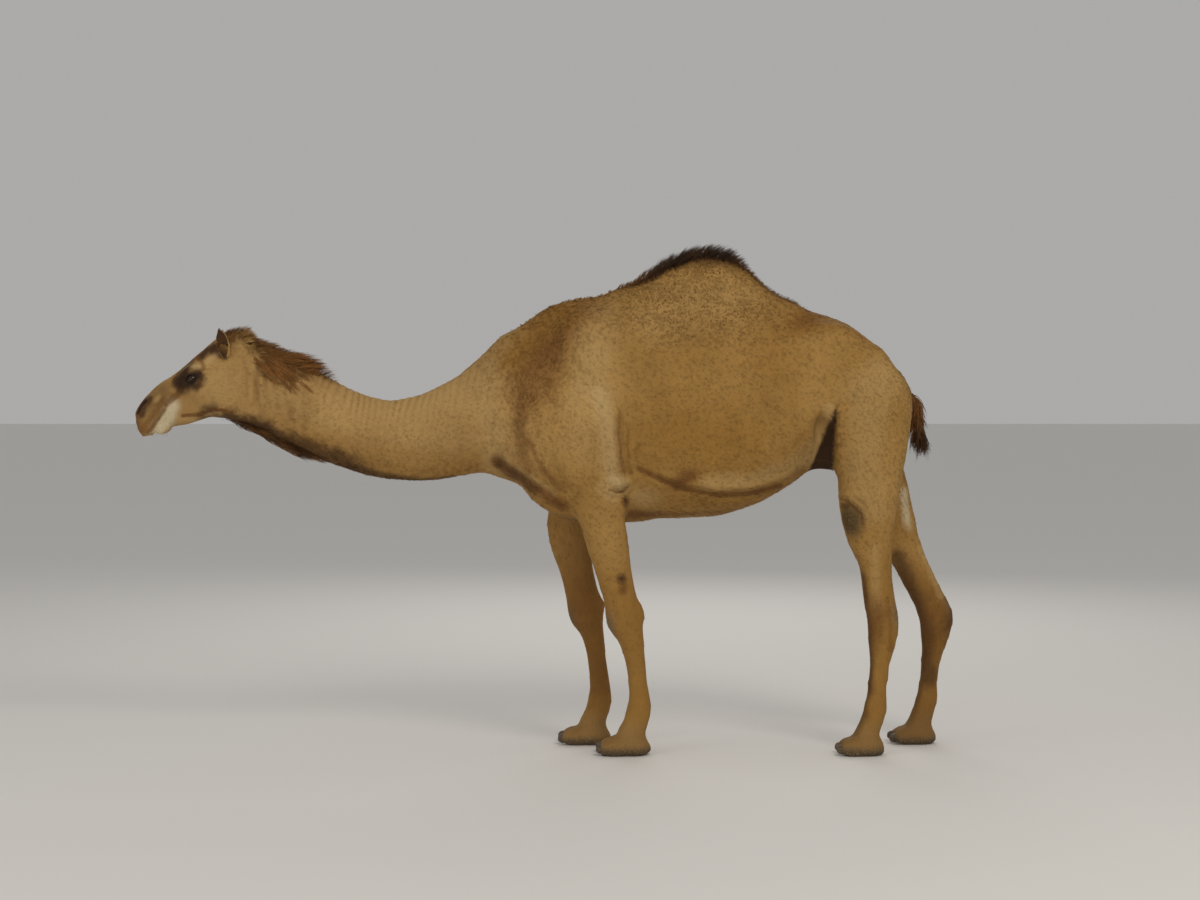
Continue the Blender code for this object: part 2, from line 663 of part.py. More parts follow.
def eye_socket(head, side, label, cutters):
    """Cuts the socket and returns the eyeball that sits in it."""
    place = on_head(EYE_PLACE[0], side * EYE_PLACE[1], EYE_PLACE[2])
    made = []
    for name, radius in (("eye_" + label, EYE_RADIUS), ("socket", EYE_RADIUS + 0.0006)):
        bm = bmesh.new()
        bmesh.ops.create_uvsphere(bm, u_segments=10, v_segments=7, radius=radius)
        bmesh.ops.rotate(
            bm, matrix=Matrix.Rotation(math.pi / 2, 3, "X"), verts=bm.verts
        )
        bmesh.ops.translate(bm, vec=place, verts=bm.verts)
        mesh = bpy.data.meshes.new(name)
        bm.to_mesh(mesh)
        bm.free()
        made.append(bpy.data.objects.new(name, mesh))
    eye, socket = made
    boolean(head, as_cutter(socket, cutters), "DIFFERENCE")
    return eye


# ---- materials ---------------------------------------------------------------
def finish(name, colour, roughness):
    material = bpy.data.materials.new(name)
    material.use_nodes = True
    shader = material.node_tree.nodes["Principled BSDF"]
    shader.inputs["Base Color"].default_value = (*colour, 1.0)
    shader.inputs["Roughness"].default_value = roughness
    shader.inputs["Metallic"].default_value = 0.0
    return material


def give(obj, material):
    obj.data.materials.clear()
    obj.data.materials.append(material)
    obj.data.shade_smooth()
    obj.data.set_sharp_from_angle(angle=math.radians(50))


def collection(name):
    made = bpy.data.collections.new(name)
    bpy.context.scene.collection.children.link(made)
    return made


# ---- pieces ------------------------------------------------------------------
def flesh_whole(cutters):
    """The whole of the body and the head, each as one closed skin."""
    body = Clay((-1.40, -0.48, -0.05), (1.76, 0.48, 2.08), BODY_STEP)
    model_neck(body)
    model_trunk(body)
    model_legs(body)
    carve_trunk(body)
    model_head(body)
    head = Clay((-1.72, -0.16, 1.16), (-1.02, 0.16, 1.76), HEAD_STEP)
    model_neck(head)
    model_head(head)
    return (
        body.mesh_object("whole body", BODY_TRIANGLES, cutters),
        head.mesh_object("whole head", HEAD_TRIANGLES, cutters),
    )


def part_head(whole, camel, cutters):
    head = sliced(whole, "head", HEAD_CUT[0], HEAD_CUT[1], camel)
    eyes = []
    for label, side in SIDES.items():
        eye = eye_socket(head, side, label, cutters)
        camel.objects.link(eye)
        eyes.append(eye)
    ears = []
    for label, side in SIDES.items():
        ears.append(clear_of(ear_object(label, side, camel), [head], cutters))
    return [head, *ears], eyes


def clear_of(obj, others, cutters):
    """Cuts away what lies inside the other pieces, and keeps the largest part left."""
    for other in others:
        room = swollen(other, other.name + " room", GAP * 1.8, cutters)
        boolean(obj, room, "DIFFERENCE", "MANIFOLD")
    bm = bmesh.new()
    bm.from_mesh(obj.data)
    keep_largest(bm)
    bmesh.ops.triangulate(bm, faces=bm.faces)
    bm.to_mesh(obj.data)
    bm.free()
    return obj


def part_leg(body, label, end, low_block, high_block, camel, cutters):
    """Takes one leg off the body, and parts it at its joints."""
    low = block(f"low {end} {label}", *low_block, cutters)
    lower = parted(body, "lower", low, cutters, cutters)
    high = block(f"high {end} {label}", *high_block, cutters)
    upper = parted(body, f"{end}_upper_leg_{label}", high, cutters, camel)
    top = (0, 0, FOOT_TOP)
    foot, cannon = halved(
        lower, (f"{end}_foot", f"{end}_lower_leg_{label}"), (top, (0, 0, 1)), (cutters, camel)
    )
    sole = (0, 0, -GAP / 2)
    foot = sliced(foot, f"{end}_foot_{label}", sole, (0, 0, -1), camel)
    return [upper, cannon, foot]


def part_legs(body, camel, cutters):
    """Each leg is boxed off the body: below the knee or hock, then above it."""
    overlap = 0.08
    legs = []
    for label, side in SIDES.items():
        shift = RIGHT_FORE_SHIFT if side > 0 else 0.0
        inner, outer = sorted((side * 0.004, side * 0.46))
        low = ((0.0 + shift, inner, -0.1), (0.60 + shift, outer, FORE_KNEE), 0)
        inner, outer = sorted((side * 0.062, side * 0.46))
        slid = shift * 0.9
        high = (
            (0.10 + slid, inner, FORE_KNEE - overlap),
            (0.385 + slid, outer, FORELEG_TOP),
            FORE_LEAN,
        )
        legs += part_leg(body, label, "fore", low, high, camel, cutters)
    for label, side in SIDES.items():
        inner, outer = sorted((side * 0.004, side * 0.46))
        low = ((1.0, inner, -0.1), (1.9, outer, HOCK), 0)
        high = ((1.0, inner, HOCK - overlap), (1.9, outer, STIFLE), 0)
        legs += part_leg(body, label, "hind", low, high, camel, cutters)
    return legs


def halved(obj, names, cut, homes):
    """Both sides of a cut: the part behind the plane first."""
    point, normal = cut
    return (
        sliced(obj, names[0], point, normal, homes[0]),
        sliced(obj, names[1], point, -Vector(normal), homes[1]),
    )


def part_body(body, camel, cutters):
    """Parts the neck, the barrel and the quarters, from the head backwards."""
    neck = sliced(body, "neck", HEAD_CUT[0], -Vector(HEAD_CUT[1]), cutters)
    neck_upper, rest = halved(neck, ("neck_upper", "rest"), NECK_CUT, (camel, cutters))
    neck_lower, rest = halved(rest, ("neck_lower", "trunk"), BREAST_CUT, (camel, cutters))
    rest, hump = halved(rest, ("below hump", "hump"), HUMP_CUT, (cutters, camel))
    chest, rest = halved(rest, ("chest", "behind"), GIRTH_CUT, (camel, cutters))
    belly, rest = halved(rest, ("belly", "quarters"), FLANK_CUT, (camel, cutters))
    thighs, rump = halved(rest, ("thighs", "rump"), THIGH_CUT, (cutters, camel))
    left = sliced(thighs, "thigh_left", (0, -0.001, 0), (0, 1, 0), camel)
    right = sliced(thighs, "thigh_right", (0, 0.001, 0), (0, -1, 0), camel)
    return [neck_upper, neck_lower, hump, chest, belly, rump, left, right]


def toenails(foot, label, x, y, size, cutters, camel):
    """Two small horny nails on the front of a foot."""
    made = []
    for name, toe in (("inner", -1), ("outer", 1)):
        outwards = toe if y > 0 else -toe
        bm = bmesh.new()
        bmesh.ops.create_uvsphere(bm, u_segments=7, v_segments=5, radius=1.0)
        bmesh.ops.scale(bm, vec=(0.024 * size, 0.019 * size, 0.019), verts=bm.verts)
        bmesh.ops.translate(
            bm,
            vec=(x - 0.092 * size, y + outwards * 0.040 * size, 0.026),
            verts=bm.verts,
        )
        mesh = bpy.data.meshes.new("nail")
        bm.to_mesh(mesh)
        bm.free()
        nail = bpy.data.objects.new(f"{label}_nail_{name}", mesh)
        camel.objects.link(nail)
        made.append(clear_of(nail, [foot], cutters))
    return made


def hair_ridge(name, stations, low, high, beside, cutters, camel):
    """A ridge of long hair that stands on the flesh beside it."""
    clay = Clay(low, high, SMALL_STEP * 2)
    rows = [(x, z, 0, above, below, wide) for x, z, above, below, wide in stations]
    clay.add(Sweep(rows), 0.02)
    ridge = clay.mesh_object(name, HAIR_TRIANGLES, camel)
    return clear_of(ridge, beside, cutters)


def build():
    for obj in list(bpy.data.objects):
        bpy.data.objects.remove(obj, do_unlink=True)
    camel, cutters = collection("camel"), collection("cutters")
    body, whole_head = flesh_whole(cutters)
    heads, eyes = part_head(whole_head, camel, cutters)
    flesh = list(heads)

    flesh += part_legs(body, camel, cutters)
    flesh += part_body(body, camel, cutters)
    by_name = {obj.name: obj for obj in flesh}
    tail_clay = Clay((1.28, -0.06, 1.28), (1.54, 0.06, 1.64), SMALL_STEP)
    tail_clay.add(Sweep(TAIL, cap=0.001), 0.01)
    tail = tail_clay.mesh_object("tail", HAIR_TRIANGLES, camel)
    clear_of(tail, [by_name["rump"], by_name["thigh_left"], by_name["thigh_right"]], cutters)
    tuft = hair_ridge(
        "tail_tuft", [(x, z, a, b, w) for x, z, _, a, b, w in TAIL_TUFT],
        (1.42, -0.06, 1.12), (1.58, 0.06, 1.36), [tail, by_name["rump"]], cutters, camel,
    )
    mane = hair_ridge(
        "nape_mane", MANE, (-1.30, -0.09, 1.36), (-0.76, 0.09, 1.70),
        [by_name["head"], by_name["neck_upper"]], cutters, camel,
    )
    crest = hair_ridge(
        "hump_crest", CREST, (0.24, -0.08, 1.78), (0.96, 0.08, 2.08),
        [by_name["hump"], by_name["chest"], by_name["belly"]], cutters, camel,
    )
    fringe = hair_ridge(
        "throat_fringe", THROAT, (-1.36, -0.08, 1.10), (-0.84, 0.08, 1.42),
        [by_name["head"], by_name["neck_upper"]], cutters, camel,
    )
    flesh.append(tail)

    nails = []
    for name, x, y, size in FEET:
        nails += toenails(by_name[name], name, x, y, size, cutters, camel)

    skin = finish("camel coat", (0.47, 0.31, 0.155), 0.85)
    hair = finish("dark hair", (0.075, 0.042, 0.025), 0.9)
    horn = finish("toenail", (0.10, 0.075, 0.055), 0.45)
    glassy = finish("eye", (0.020, 0.012, 0.008), 0.06)
    ridges = [tuft, mane, crest, fringe]
    for group, material in ((flesh, skin), (ridges, hair), (nails, horn), (eyes, glassy)):
        for obj in group:
            give(obj, material)
    for obj in list(cutters.objects):
        bpy.data.objects.remove(obj, do_unlink=True)
    for obj in camel.objects:
        obj.data.transform(Matrix.Translation((-ORIGIN_X, 0, 0)))


build()
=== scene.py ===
import json
import math
import random
import time

import bmesh
import bpy
import numpy as np
from mathutils import Matrix, Vector
from mathutils.bvhtree import BVHTree


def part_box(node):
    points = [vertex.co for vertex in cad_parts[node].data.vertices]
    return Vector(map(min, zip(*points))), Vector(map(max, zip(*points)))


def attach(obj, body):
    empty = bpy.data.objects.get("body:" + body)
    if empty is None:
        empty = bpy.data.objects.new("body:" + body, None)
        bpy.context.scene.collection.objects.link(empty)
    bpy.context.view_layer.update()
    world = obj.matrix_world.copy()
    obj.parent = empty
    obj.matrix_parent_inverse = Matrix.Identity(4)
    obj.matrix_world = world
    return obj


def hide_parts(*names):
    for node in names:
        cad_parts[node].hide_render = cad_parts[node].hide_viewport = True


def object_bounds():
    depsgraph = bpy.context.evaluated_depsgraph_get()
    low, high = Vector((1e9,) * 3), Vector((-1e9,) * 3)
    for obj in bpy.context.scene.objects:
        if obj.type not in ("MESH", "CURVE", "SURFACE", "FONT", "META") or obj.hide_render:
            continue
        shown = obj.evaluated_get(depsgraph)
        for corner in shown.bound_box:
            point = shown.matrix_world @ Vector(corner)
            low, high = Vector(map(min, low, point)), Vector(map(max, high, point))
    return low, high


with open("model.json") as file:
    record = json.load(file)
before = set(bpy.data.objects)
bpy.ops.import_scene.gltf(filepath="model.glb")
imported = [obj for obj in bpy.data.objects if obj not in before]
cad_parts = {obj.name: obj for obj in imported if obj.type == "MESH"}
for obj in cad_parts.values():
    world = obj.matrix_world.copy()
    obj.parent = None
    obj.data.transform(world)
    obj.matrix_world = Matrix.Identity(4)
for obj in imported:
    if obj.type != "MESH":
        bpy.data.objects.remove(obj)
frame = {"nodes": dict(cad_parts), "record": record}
cadLow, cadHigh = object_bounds()
started = time.time()


def say(words):
    print(f"{time.time() - started:6.1f} s  {words}")


# small helpers for meshes held as arrays

def readFlat(items, key, width=3, kind=np.float32):
    flat = np.empty(len(items) * width, kind)
    items.foreach_get(key, flat)
    return flat.reshape(-1, width) if width > 1 else flat


def pointsOf(mesh):
    return readFlat(mesh.vertices, "co").astype(float)


def normalsOf(mesh):
    return readFlat(mesh.vertex_normals, "vector").astype(float)


def unit(ways):
    return ways / np.linalg.norm(ways, axis=-1, keepdims=True)


def opened(mesh):
    bm = bmesh.new()
    bm.from_mesh(mesh)
    return bm


def closed(bm, mesh):
    bm.to_mesh(mesh)
    bm.free()
    return mesh


def searchTree(mesh):
    bm = opened(mesh)
    found = BVHTree.FromBMesh(bm)
    bm.free()
    return found


def setPoints(mesh, points):
    mesh.vertices.foreach_set("co", points.astype(np.float32).ravel())
    mesh.update()


def meshOf(name, points, faces):
    mesh = bpy.data.meshes.new(name)
    mesh.from_pydata([tuple(q) for q in points], [], faces)
    return mesh


# a closed form with its faces outwards
def solidOf(name, points, faces):
    mesh = meshOf(name, points, faces)
    bm = opened(mesh)
    bmesh.ops.triangulate(bm, faces=[f for f in bm.faces if len(f.verts) > 4])
    bmesh.ops.recalc_face_normals(bm, faces=bm.faces)
    closed(bm, mesh)
    mesh.shade_smooth()
    return mesh


# a sheet whose faces look, on the whole, the way asked for
def sheetTo(mesh, wayAt):
    bm = opened(mesh)
    if sum(face.normal.dot(wayAt(face)) for face in bm.faces) < 0:
        bmesh.ops.reverse_faces(bm, faces=bm.faces)
    return closed(bm, mesh)


# four-sided faces between lanes of points, where the lanes or each lane may run round
def gridFaces(lanes, long, lanesRound=False, laneRound=False):
    def at(lane, i):
        return lane % lanes * long + i % long

    return [
        (at(lane, i), at(lane, i + 1), at(lane + 1, i + 1), at(lane + 1, i))
        for lane in range(lanes if lanesRound else lanes - 1)
        for i in range(long if laneRound else long - 1)
    ]


def shown(name, data):
    obj = bpy.data.objects.new(name, data)
    bpy.context.scene.collection.objects.link(obj)
    return obj


def modified(obj, kind, **settings):
    modifier = obj.modifiers.new(kind.title(), kind)
    for key, value in settings.items():
        setattr(modifier, key, value)
    return modifier


def applied(obj):
    bpy.context.view_layer.update()
    graph = bpy.context.evaluated_depsgraph_get()
    mesh = bpy.data.meshes.new_from_object(obj.evaluated_get(graph))
    obj.modifiers.clear()
    obj.data = mesh
    return obj


# a smooth rise from 0 at low to 1 at high; fall goes the other way, and band rises and falls again
def ease(low, high, value):
    t = np.clip((value - low) / (high - low), 0, 1)
    return t * t * (3 - 2 * t)


def fall(low, high, value):
    return 1 - ease(low, high, value)


def band(value, rise, full, last, end):
    return ease(rise, full, value) * fall(last, end, value)


def bell(distance, width):
    return np.exp(-((distance / width) ** 2))


# a soft random field over space, the same on each run
def cloudy(points, size, seed=0):
    scaled = points / size + seed * 17.31
    base = np.floor(scaled).astype(np.int64)
    part = scaled - base
    part = part * part * (3 - 2 * part)
    total = np.zeros(len(points))
    for step in np.ndindex(2, 2, 2):
        x, y, z = (base + step).T
        hashed = (x * 73856093) ^ (y * 19349663) ^ (z * 83492791) ^ (seed * 2654435)
        hashed = (hashed ^ (hashed >> 13)) * 1274126177
        value = ((hashed ^ (hashed >> 16)) & 65535) / 65535.0
        total += np.prod(np.where(step, part, 1 - part), axis=1) * value
    return total * 2 - 1


# gives the mean of each point's neighbours
def neighbourMean(mesh):
    total = len(mesh.vertices)
    edges = readFlat(mesh.edges, "vertices", 2, np.int32)
    ends = np.concatenate([edges[:, 0], edges[:, 1]])
    others = np.concatenate([edges[:, 1], edges[:, 0]])
    count = np.maximum(np.bincount(ends, minlength=total), 1)[:, None]

    def mean(points):
        sums = [np.bincount(ends, points[others, i], total) for i in range(3)]
        return np.stack(sums, 1) / count

    return mean


# evens out a mesh: first inwards, then back out
def relaxed(points, mean, rounds, pull=0.55, push=-0.575):
    moved = points.copy()
    for turn in range(rounds * 2):
        moved += (mean(moved) - moved) * (push if turn % 2 else pull)
    return moved


# a point that stands out sharply from its neighbours goes back among them
def blunted(points, mean, rounds, far):
    for _ in range(rounds):
        middle = mean(points)
        sharp = np.linalg.norm(points - middle, axis=1) > far
        points = np.where(sharp[:, None], middle, points)
    return points


# where the head lies: along its axis from the poll, and above that axis
headLay = {"pitch": 27.8, "eyeAlong": 0.198, "eyeAbove": 0.087}
pitch = math.radians(headLay["pitch"])
alongWay = np.array([-math.cos(pitch), 0.0, -math.sin(pitch)])
aboveWay = np.array([-math.sin(pitch), 0.0, math.cos(pitch)])
eyeMiddle = {}
for side in ("left", "right"):
    low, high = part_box("eye_" + side)
    eyeMiddle[side] = np.array((low + high) / 2)
eyeRadius = float((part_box("eye_left")[1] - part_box("eye_left")[0]).x) / 2
headRoot = (eyeMiddle["left"] + eyeMiddle["right"]) / 2
headRoot = headRoot - alongWay * headLay["eyeAlong"] - aboveWay * headLay["eyeAbove"]


def fromEye(points, middle):
    return np.linalg.norm(points - middle, axis=1) / eyeRadius


def onHead(points):
    apart = points - headRoot
    return apart @ alongWay, apart[:, 1], apart @ aboveWay


def atHead(along, out, above):
    return headRoot + alongWay * along + aboveWay * above + np.array([0.0, out, 0.0])


# the skin: one closed mesh fused from the flesh, finer towards the head
skinMake = {
    "swell": 0.0012, "grain": 0.0208, "headZoom": 4.2, "headNear": 0.24, "headFar": 0.4,
    "smoothRounds": 45, "bluntRounds": 6, "sharp": 0.003,
}
fleshNodes = [
    s["node"]
    for s in frame["record"]["subparts"]
    if s["material_slot"] == "coat" and not s["node"].startswith("ear_")
]
headMiddle = np.array(sum(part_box("head"), Vector())) / 2
zoomFrom = np.linspace(0, 6, 6001)
zoomShare = fall(skinMake["headNear"], skinMake["headFar"], zoomFrom)
zoomTo = np.cumsum(1 + (skinMake["headZoom"] - 1) * zoomShare) * (zoomFrom[1] - zoomFrom[0])


def zoomHead(points, back=False):
    apart = points - headMiddle
    far = np.maximum(np.linalg.norm(apart, axis=1), 1e-6)
    table = (zoomTo, zoomFrom) if back else (zoomFrom, zoomTo)
    return headMiddle + apart * (np.interp(far, *table) / far)[:, None]


def fleshCopies():
    joined = bmesh.new()
    for node in fleshNodes + ["eye_left", "eye_right"]:
        bm = opened(frame["nodes"][node].data)
        bmesh.ops.remove_doubles(bm, verts=bm.verts, dist=1e-5)
        bmesh.ops.subdivide_edges(bm, edges=bm.edges, cuts=1, use_grid_fill=True)
        bm.normal_update()
        for vert in bm.verts:
            vert.co += vert.normal * skinMake["swell"]
        mesh = closed(bm, bpy.data.meshes.new("copy"))
        joined.from_mesh(mesh)
        bpy.data.meshes.remove(mesh)
    return closed(joined, bpy.data.meshes.new("flesh"))


def largestShell(mesh):
    bm = opened(mesh)
    left, best = set(bm.verts), set()
    while left:
        shell, todo = set(), [left.pop()]
        while todo:
            vert = todo.pop()
            shell.add(vert)
            near = {edge.other_vert(vert) for edge in vert.link_edges} & left
            left -= near
            todo.extend(near)
        best = max(best, shell, key=len)
    bmesh.ops.delete(bm, geom=[v for v in bm.verts if v not in best], context="VERTS")
    closed(bm, mesh)


def fusedSkin():
    mesh = fleshCopies()
    setPoints(mesh, zoomHead(pointsOf(mesh)))
    obj = shown("skin", mesh)
    modified(obj, "REMESH", mode="VOXEL", voxel_size=skinMake["grain"])
    mesh = applied(obj).data
    largestShell(mesh)
    points, mean = zoomHead(pointsOf(mesh), back=True), neighbourMean(mesh)
    points = relaxed(points, mean, skinMake["smoothRounds"])
    setPoints(mesh, blunted(points, mean, skinMake["bluntRounds"], skinMake["sharp"]))
    return obj


# distance from each place to a bent line, how far along it, and on which side
def nearLine(a, b, line):
    best = np.full(len(a), 1e9)
    side = np.zeros(len(a))
    share = np.zeros(len(a))
    line = np.array(line, float)
    lengths = np.linalg.norm(np.diff(line, axis=0), axis=1)
    reached = np.concatenate([[0], np.cumsum(lengths)]) / lengths.sum()
    for i, long in enumerate(lengths):
        (a0, b0), (a1, b1) = line[i], line[i + 1]
        ux, uy = (a1 - a0) / long, (b1 - b0) / long
        t = np.clip((a - a0) * ux + (b - b0) * uy, 0, long)
        away = np.hypot(a - a0 - ux * t, b - b0 - uy * t)
        closer = away < best
        best = np.where(closer, away, best)
        side = np.where(closer, np.sign(ux * (b - b0) - uy * (a - a0)), side)
        share = np.where(closer, reached[i] + t / long * (reached[i + 1] - reached[i]), share)
    return best, share, side


# a fold in the hide: a groove with a soft roll of skin, on the side that the sign of roll says;
# its ends fade out over this share of its length, and the roll lies this many widths away
foldShape = {"fade": 0.22, "rollAt": 1.9, "rollWide": 1.3}


def fold(a, b, line, wide, deep, roll):
    away, share, side = nearLine(a, b, line)
    fade = ease(0, foldShape["fade"], share) * ease(0, foldShape["fade"], 1 - share)
    groove = -deep * bell(away, wide)
    raised = abs(roll) * bell(away - wide * foldShape["rollAt"], wide * foldShape["rollWide"])
    return (groove + raised * (side == np.sign(roll))) * fade


# how deep the coat lies over the hide
coatDeep = {"body": 0.0046, "wool": 0.008, "head": 0.002, "leg": 0.0028, "foot": 0.0008}


def bodyShares(points):
    x, _, z = points.T
    head = ease(-0.06, 0.04, onHead(points)[0])
    leg = fall(0.62, 0.86, z) * (1 - head)
    foot = fall(0.07, 0.16, z)
    wool = ease(1.42, 1.56, z) * ease(-0.3, -0.12, x) * fall(1.02, 1.22, x)
    return head, leg, foot, wool


def coatDepth(points):
    head, leg, foot, wool = bodyShares(points)
    depth = coatDeep["body"] + (coatDeep["wool"] - coatDeep["body"]) * wool
    depth += (coatDeep["head"] - depth) * head
    depth += (coatDeep["leg"] - depth) * leg
    return depth + (coatDeep["foot"] - depth) * foot


# folds of the body, seen from the side: x and z along each line, half width, depth, roll
bodyFolds = {
    "flank": (
        [
            (0.36, 1.14), (0.46, 1.092), (0.54, 1.064), (0.66, 1.042),
            (0.79, 1.044), (0.92, 1.074), (1.02, 1.115),
        ],
        0.012, 0.009, 0.01,
    ),
    "under flank": ([(0.6, 1.022), (0.75, 1.018), (0.88, 1.036)], 0.01, 0.004, 0.004),
    "behind arm": (
        [(0.292, 1.4), (0.28, 1.34), (0.28, 1.25), (0.292, 1.15), (0.312, 1.05)],
        0.014, 0.015, -0.008,
    ),
    "arm ripple": ([(0.33, 1.3), (0.318, 1.22), (0.322, 1.13)], 0.01, 0.005, -0.003),
    "girth ripple": ([(0.36, 1.25), (0.35, 1.18), (0.356, 1.1)], 0.009, 0.004, -0.003),
    "elbow": ([(0.215, 1.045), (0.255, 1.02), (0.3, 1.03)], 0.009, 0.006, 0.005),
    "elbow two": ([(0.225, 1.085), (0.262, 1.062), (0.3, 1.072)], 0.008, 0.004, 0.004),
    "breast": ([(-0.195, 1.105), (-0.165, 1.17), (-0.135, 1.25), (-0.115, 1.36)], 0.018, 0.01, 0.005),
    "arm": ([(-0.02, 1.24), (0.02, 1.15), (0.065, 1.07), (0.1, 1.01)], 0.018, 0.008, 0.005),
    "arm front": ([(-0.075, 1.18), (-0.03, 1.09), (0.03, 1.01)], 0.016, 0.007, 0.0),
    "shoulder blade": ([(0.05, 1.66), (-0.02, 1.55), (-0.06, 1.42), (-0.07, 1.32)], 0.03, 0.006, 0.0),
    "neck root": ([(-0.2, 1.16), (-0.235, 1.25), (-0.245, 1.34), (-0.23, 1.43)], 0.02, 0.005, -0.003),
    "haunch": ([(1.19, 1.44), (1.17, 1.32), (1.165, 1.2), (1.175, 1.08)], 0.022, 0.006, 0.0),
    "ham": ([(1.36, 1.36), (1.335, 1.24), (1.315, 1.12), (1.3, 1.0)], 0.02, 0.005, 0.0),
    "arm tendon": ([(0.24, 0.68), (0.258, 0.6), (0.272, 0.52)], 0.009, 0.004, 0.003),
    "arm cord": ([(0.3, 0.66), (0.318, 0.59), (0.33, 0.53)], 0.008, 0.003, 0.003),
    "shank": ([(1.312, 0.62), (1.32, 0.52), (1.322, 0.4)], 0.01, 0.005, 0.003),
    "far shank": ([(1.53, 0.68), (1.572, 0.58), (1.588, 0.44)], 0.01, 0.005, 0.003),
    "elbow crease": (
        [(0.258, 1.052), (0.276, 1.04), (0.3, 1.044), (0.316, 1.066)],
        0.006, 0.007, -0.004,
    ),
    "stifle": (
        [(1.14, 1.02), (1.175, 1.008), (1.215, 0.975), (1.238, 0.935), (1.244, 0.885)],
        0.008, 0.007, 0.007,
    ),
    "stifle two": ([(1.185, 1.03), (1.228, 1.0), (1.26, 0.955), (1.274, 0.905)], 0.008, 0.005, 0.006),
}
# swellings: x, z, radius along x, radius along z, height, lean in degrees
bodySwells = {
    "elbow pad": (0.307, 1.006, 0.018, 0.028, 0.01, 15),
    "elbow knob": (0.286, 1.078, 0.03, 0.022, 0.022, 20),
    "stifle pad": (1.184, 0.926, 0.05, 0.066, 0.01, 0),
    "hip": (1.15, 1.56, 0.06, 0.045, 0.008, 20),
    "pin bone": (1.395, 1.47, 0.035, 0.045, 0.006, 0),
    "shoulder point": (-0.06, 1.29, 0.06, 0.05, 0.008, 0),
}


def leaning(da, db, lean):
    turn = math.radians(lean)
    return np.array([da * math.cos(turn) + db * math.sin(turn), db * math.cos(turn) - da * math.sin(turn)])


# the hollow between belly and thigh, where the far thigh shows in shade
hollowShape = {"front": 1.038, "foot": 1.134, "lean": 0.335, "back": 1.137, "deep": 0.03}


def flankHollow(points, soft=0.014):
    x, y, z = points.T
    front = hollowShape["front"] + (z - hollowShape["foot"]) * hollowShape["lean"]
    share = ease(0, soft, x - front) * ease(0, soft * 0.7, hollowShape["back"] - x)
    beside = np.maximum(ease(0.05, 0.09, np.abs(y)), fall(1.15, 1.19, z))
    return share * ease(1.05, 1.08, z) * fall(1.36, 1.41, z) * beside


# how far apart, how leaning and how high the ribs are, and how high the neck's wrinkles
reliefShape = {"ribApart": 0.085, "ribLean": 0.28, "rib": 0.0011, "wrinkle": 0.0016, "farArmAhead": 0.1}


def bodyRelief(points, normals):
    x, y, z = points.T
    side = ease(0.1, 0.55, np.abs(normals[:, 1])) * ease(0.02, 0.06, np.abs(y))
    outward = (normals[:, 1] * y > 0).astype(float)
    wobble = cloudy(points, 0.06, 3) * 0.004
    relief = np.zeros(len(points))
    for name, shape in bodyFolds.items():
        # the far foreleg is a step ahead, and its elbow with it
        ahead = reliefShape["farArmAhead"] if "elbow" in name or name.startswith("arm") else 0.0
        shift = np.where(y > 0, ahead, 0.0)
        relief += fold(x + shift + wobble, z + wobble, *shape) * side * outward
    for x0, z0, rx, rz, high, lean in bodySwells.values():
        dx, dz = leaning(x - x0, z - z0, lean)
        relief += high * np.exp(-((dx / rx) ** 2) - (dz / rz) ** 2) * side * outward
    # faint ribs, and the slack of the hide
    ribs = np.sin((x + (z - 1.3) * reliefShape["ribLean"]) * 2 * math.pi / reliefShape["ribApart"])
    zone = band(x, 0.42, 0.56, 0.86, 1.02)
    zone *= band(z, 1.14, 1.26, 1.5, 1.62)
    relief += ribs * reliefShape["rib"] * zone * side
    wave, share = neckWrinkles(points, normals)
    relief += wave * share * reliefShape["wrinkle"]
    relief -= flankHollow(points, 0.03) * ease(0.05, 0.09, np.abs(y)) * hollowShape["deep"]
    return relief + cloudy(points, 0.11, 5) * 0.0018 + cloudy(points, 0.05, 6) * 0.0007


# fine upright wrinkles over the top of the neck, deeper near its crest
neckShape = {"apart": 0.027, "lean": 0.14, "wander": 0.016}


def neckWrinkles(points, normals):
    x, _, z = points.T
    wander = cloudy(points * [1, 1, 0.3], 0.1, 51) * neckShape["wander"]
    bent = x + wander - (z - 1.4) * neckShape["lean"]
    swing = np.sin(bent * 2 * math.pi / neckShape["apart"])
    wave = 1 - 2 * np.exp(-(((swing + 1) / 0.75) ** 2))
    reach = band(x, -1.0, -0.84, -0.3, -0.12) * (1 - 0.5 * ease(-0.58, -0.42, x))
    high = ease(-0.1, 0.5, normals[:, 2] + cloudy(points, 0.05, 52) * 0.3)
    low = band(x, -0.46, -0.36, -0.24, -0.16) * ease(0.2, 0.7, -normals[:, 2])
    patchy = 0.7 + 0.3 * cloudy(points, 0.08, 53)
    return wave, reach * (high + low * 0.8) * patchy


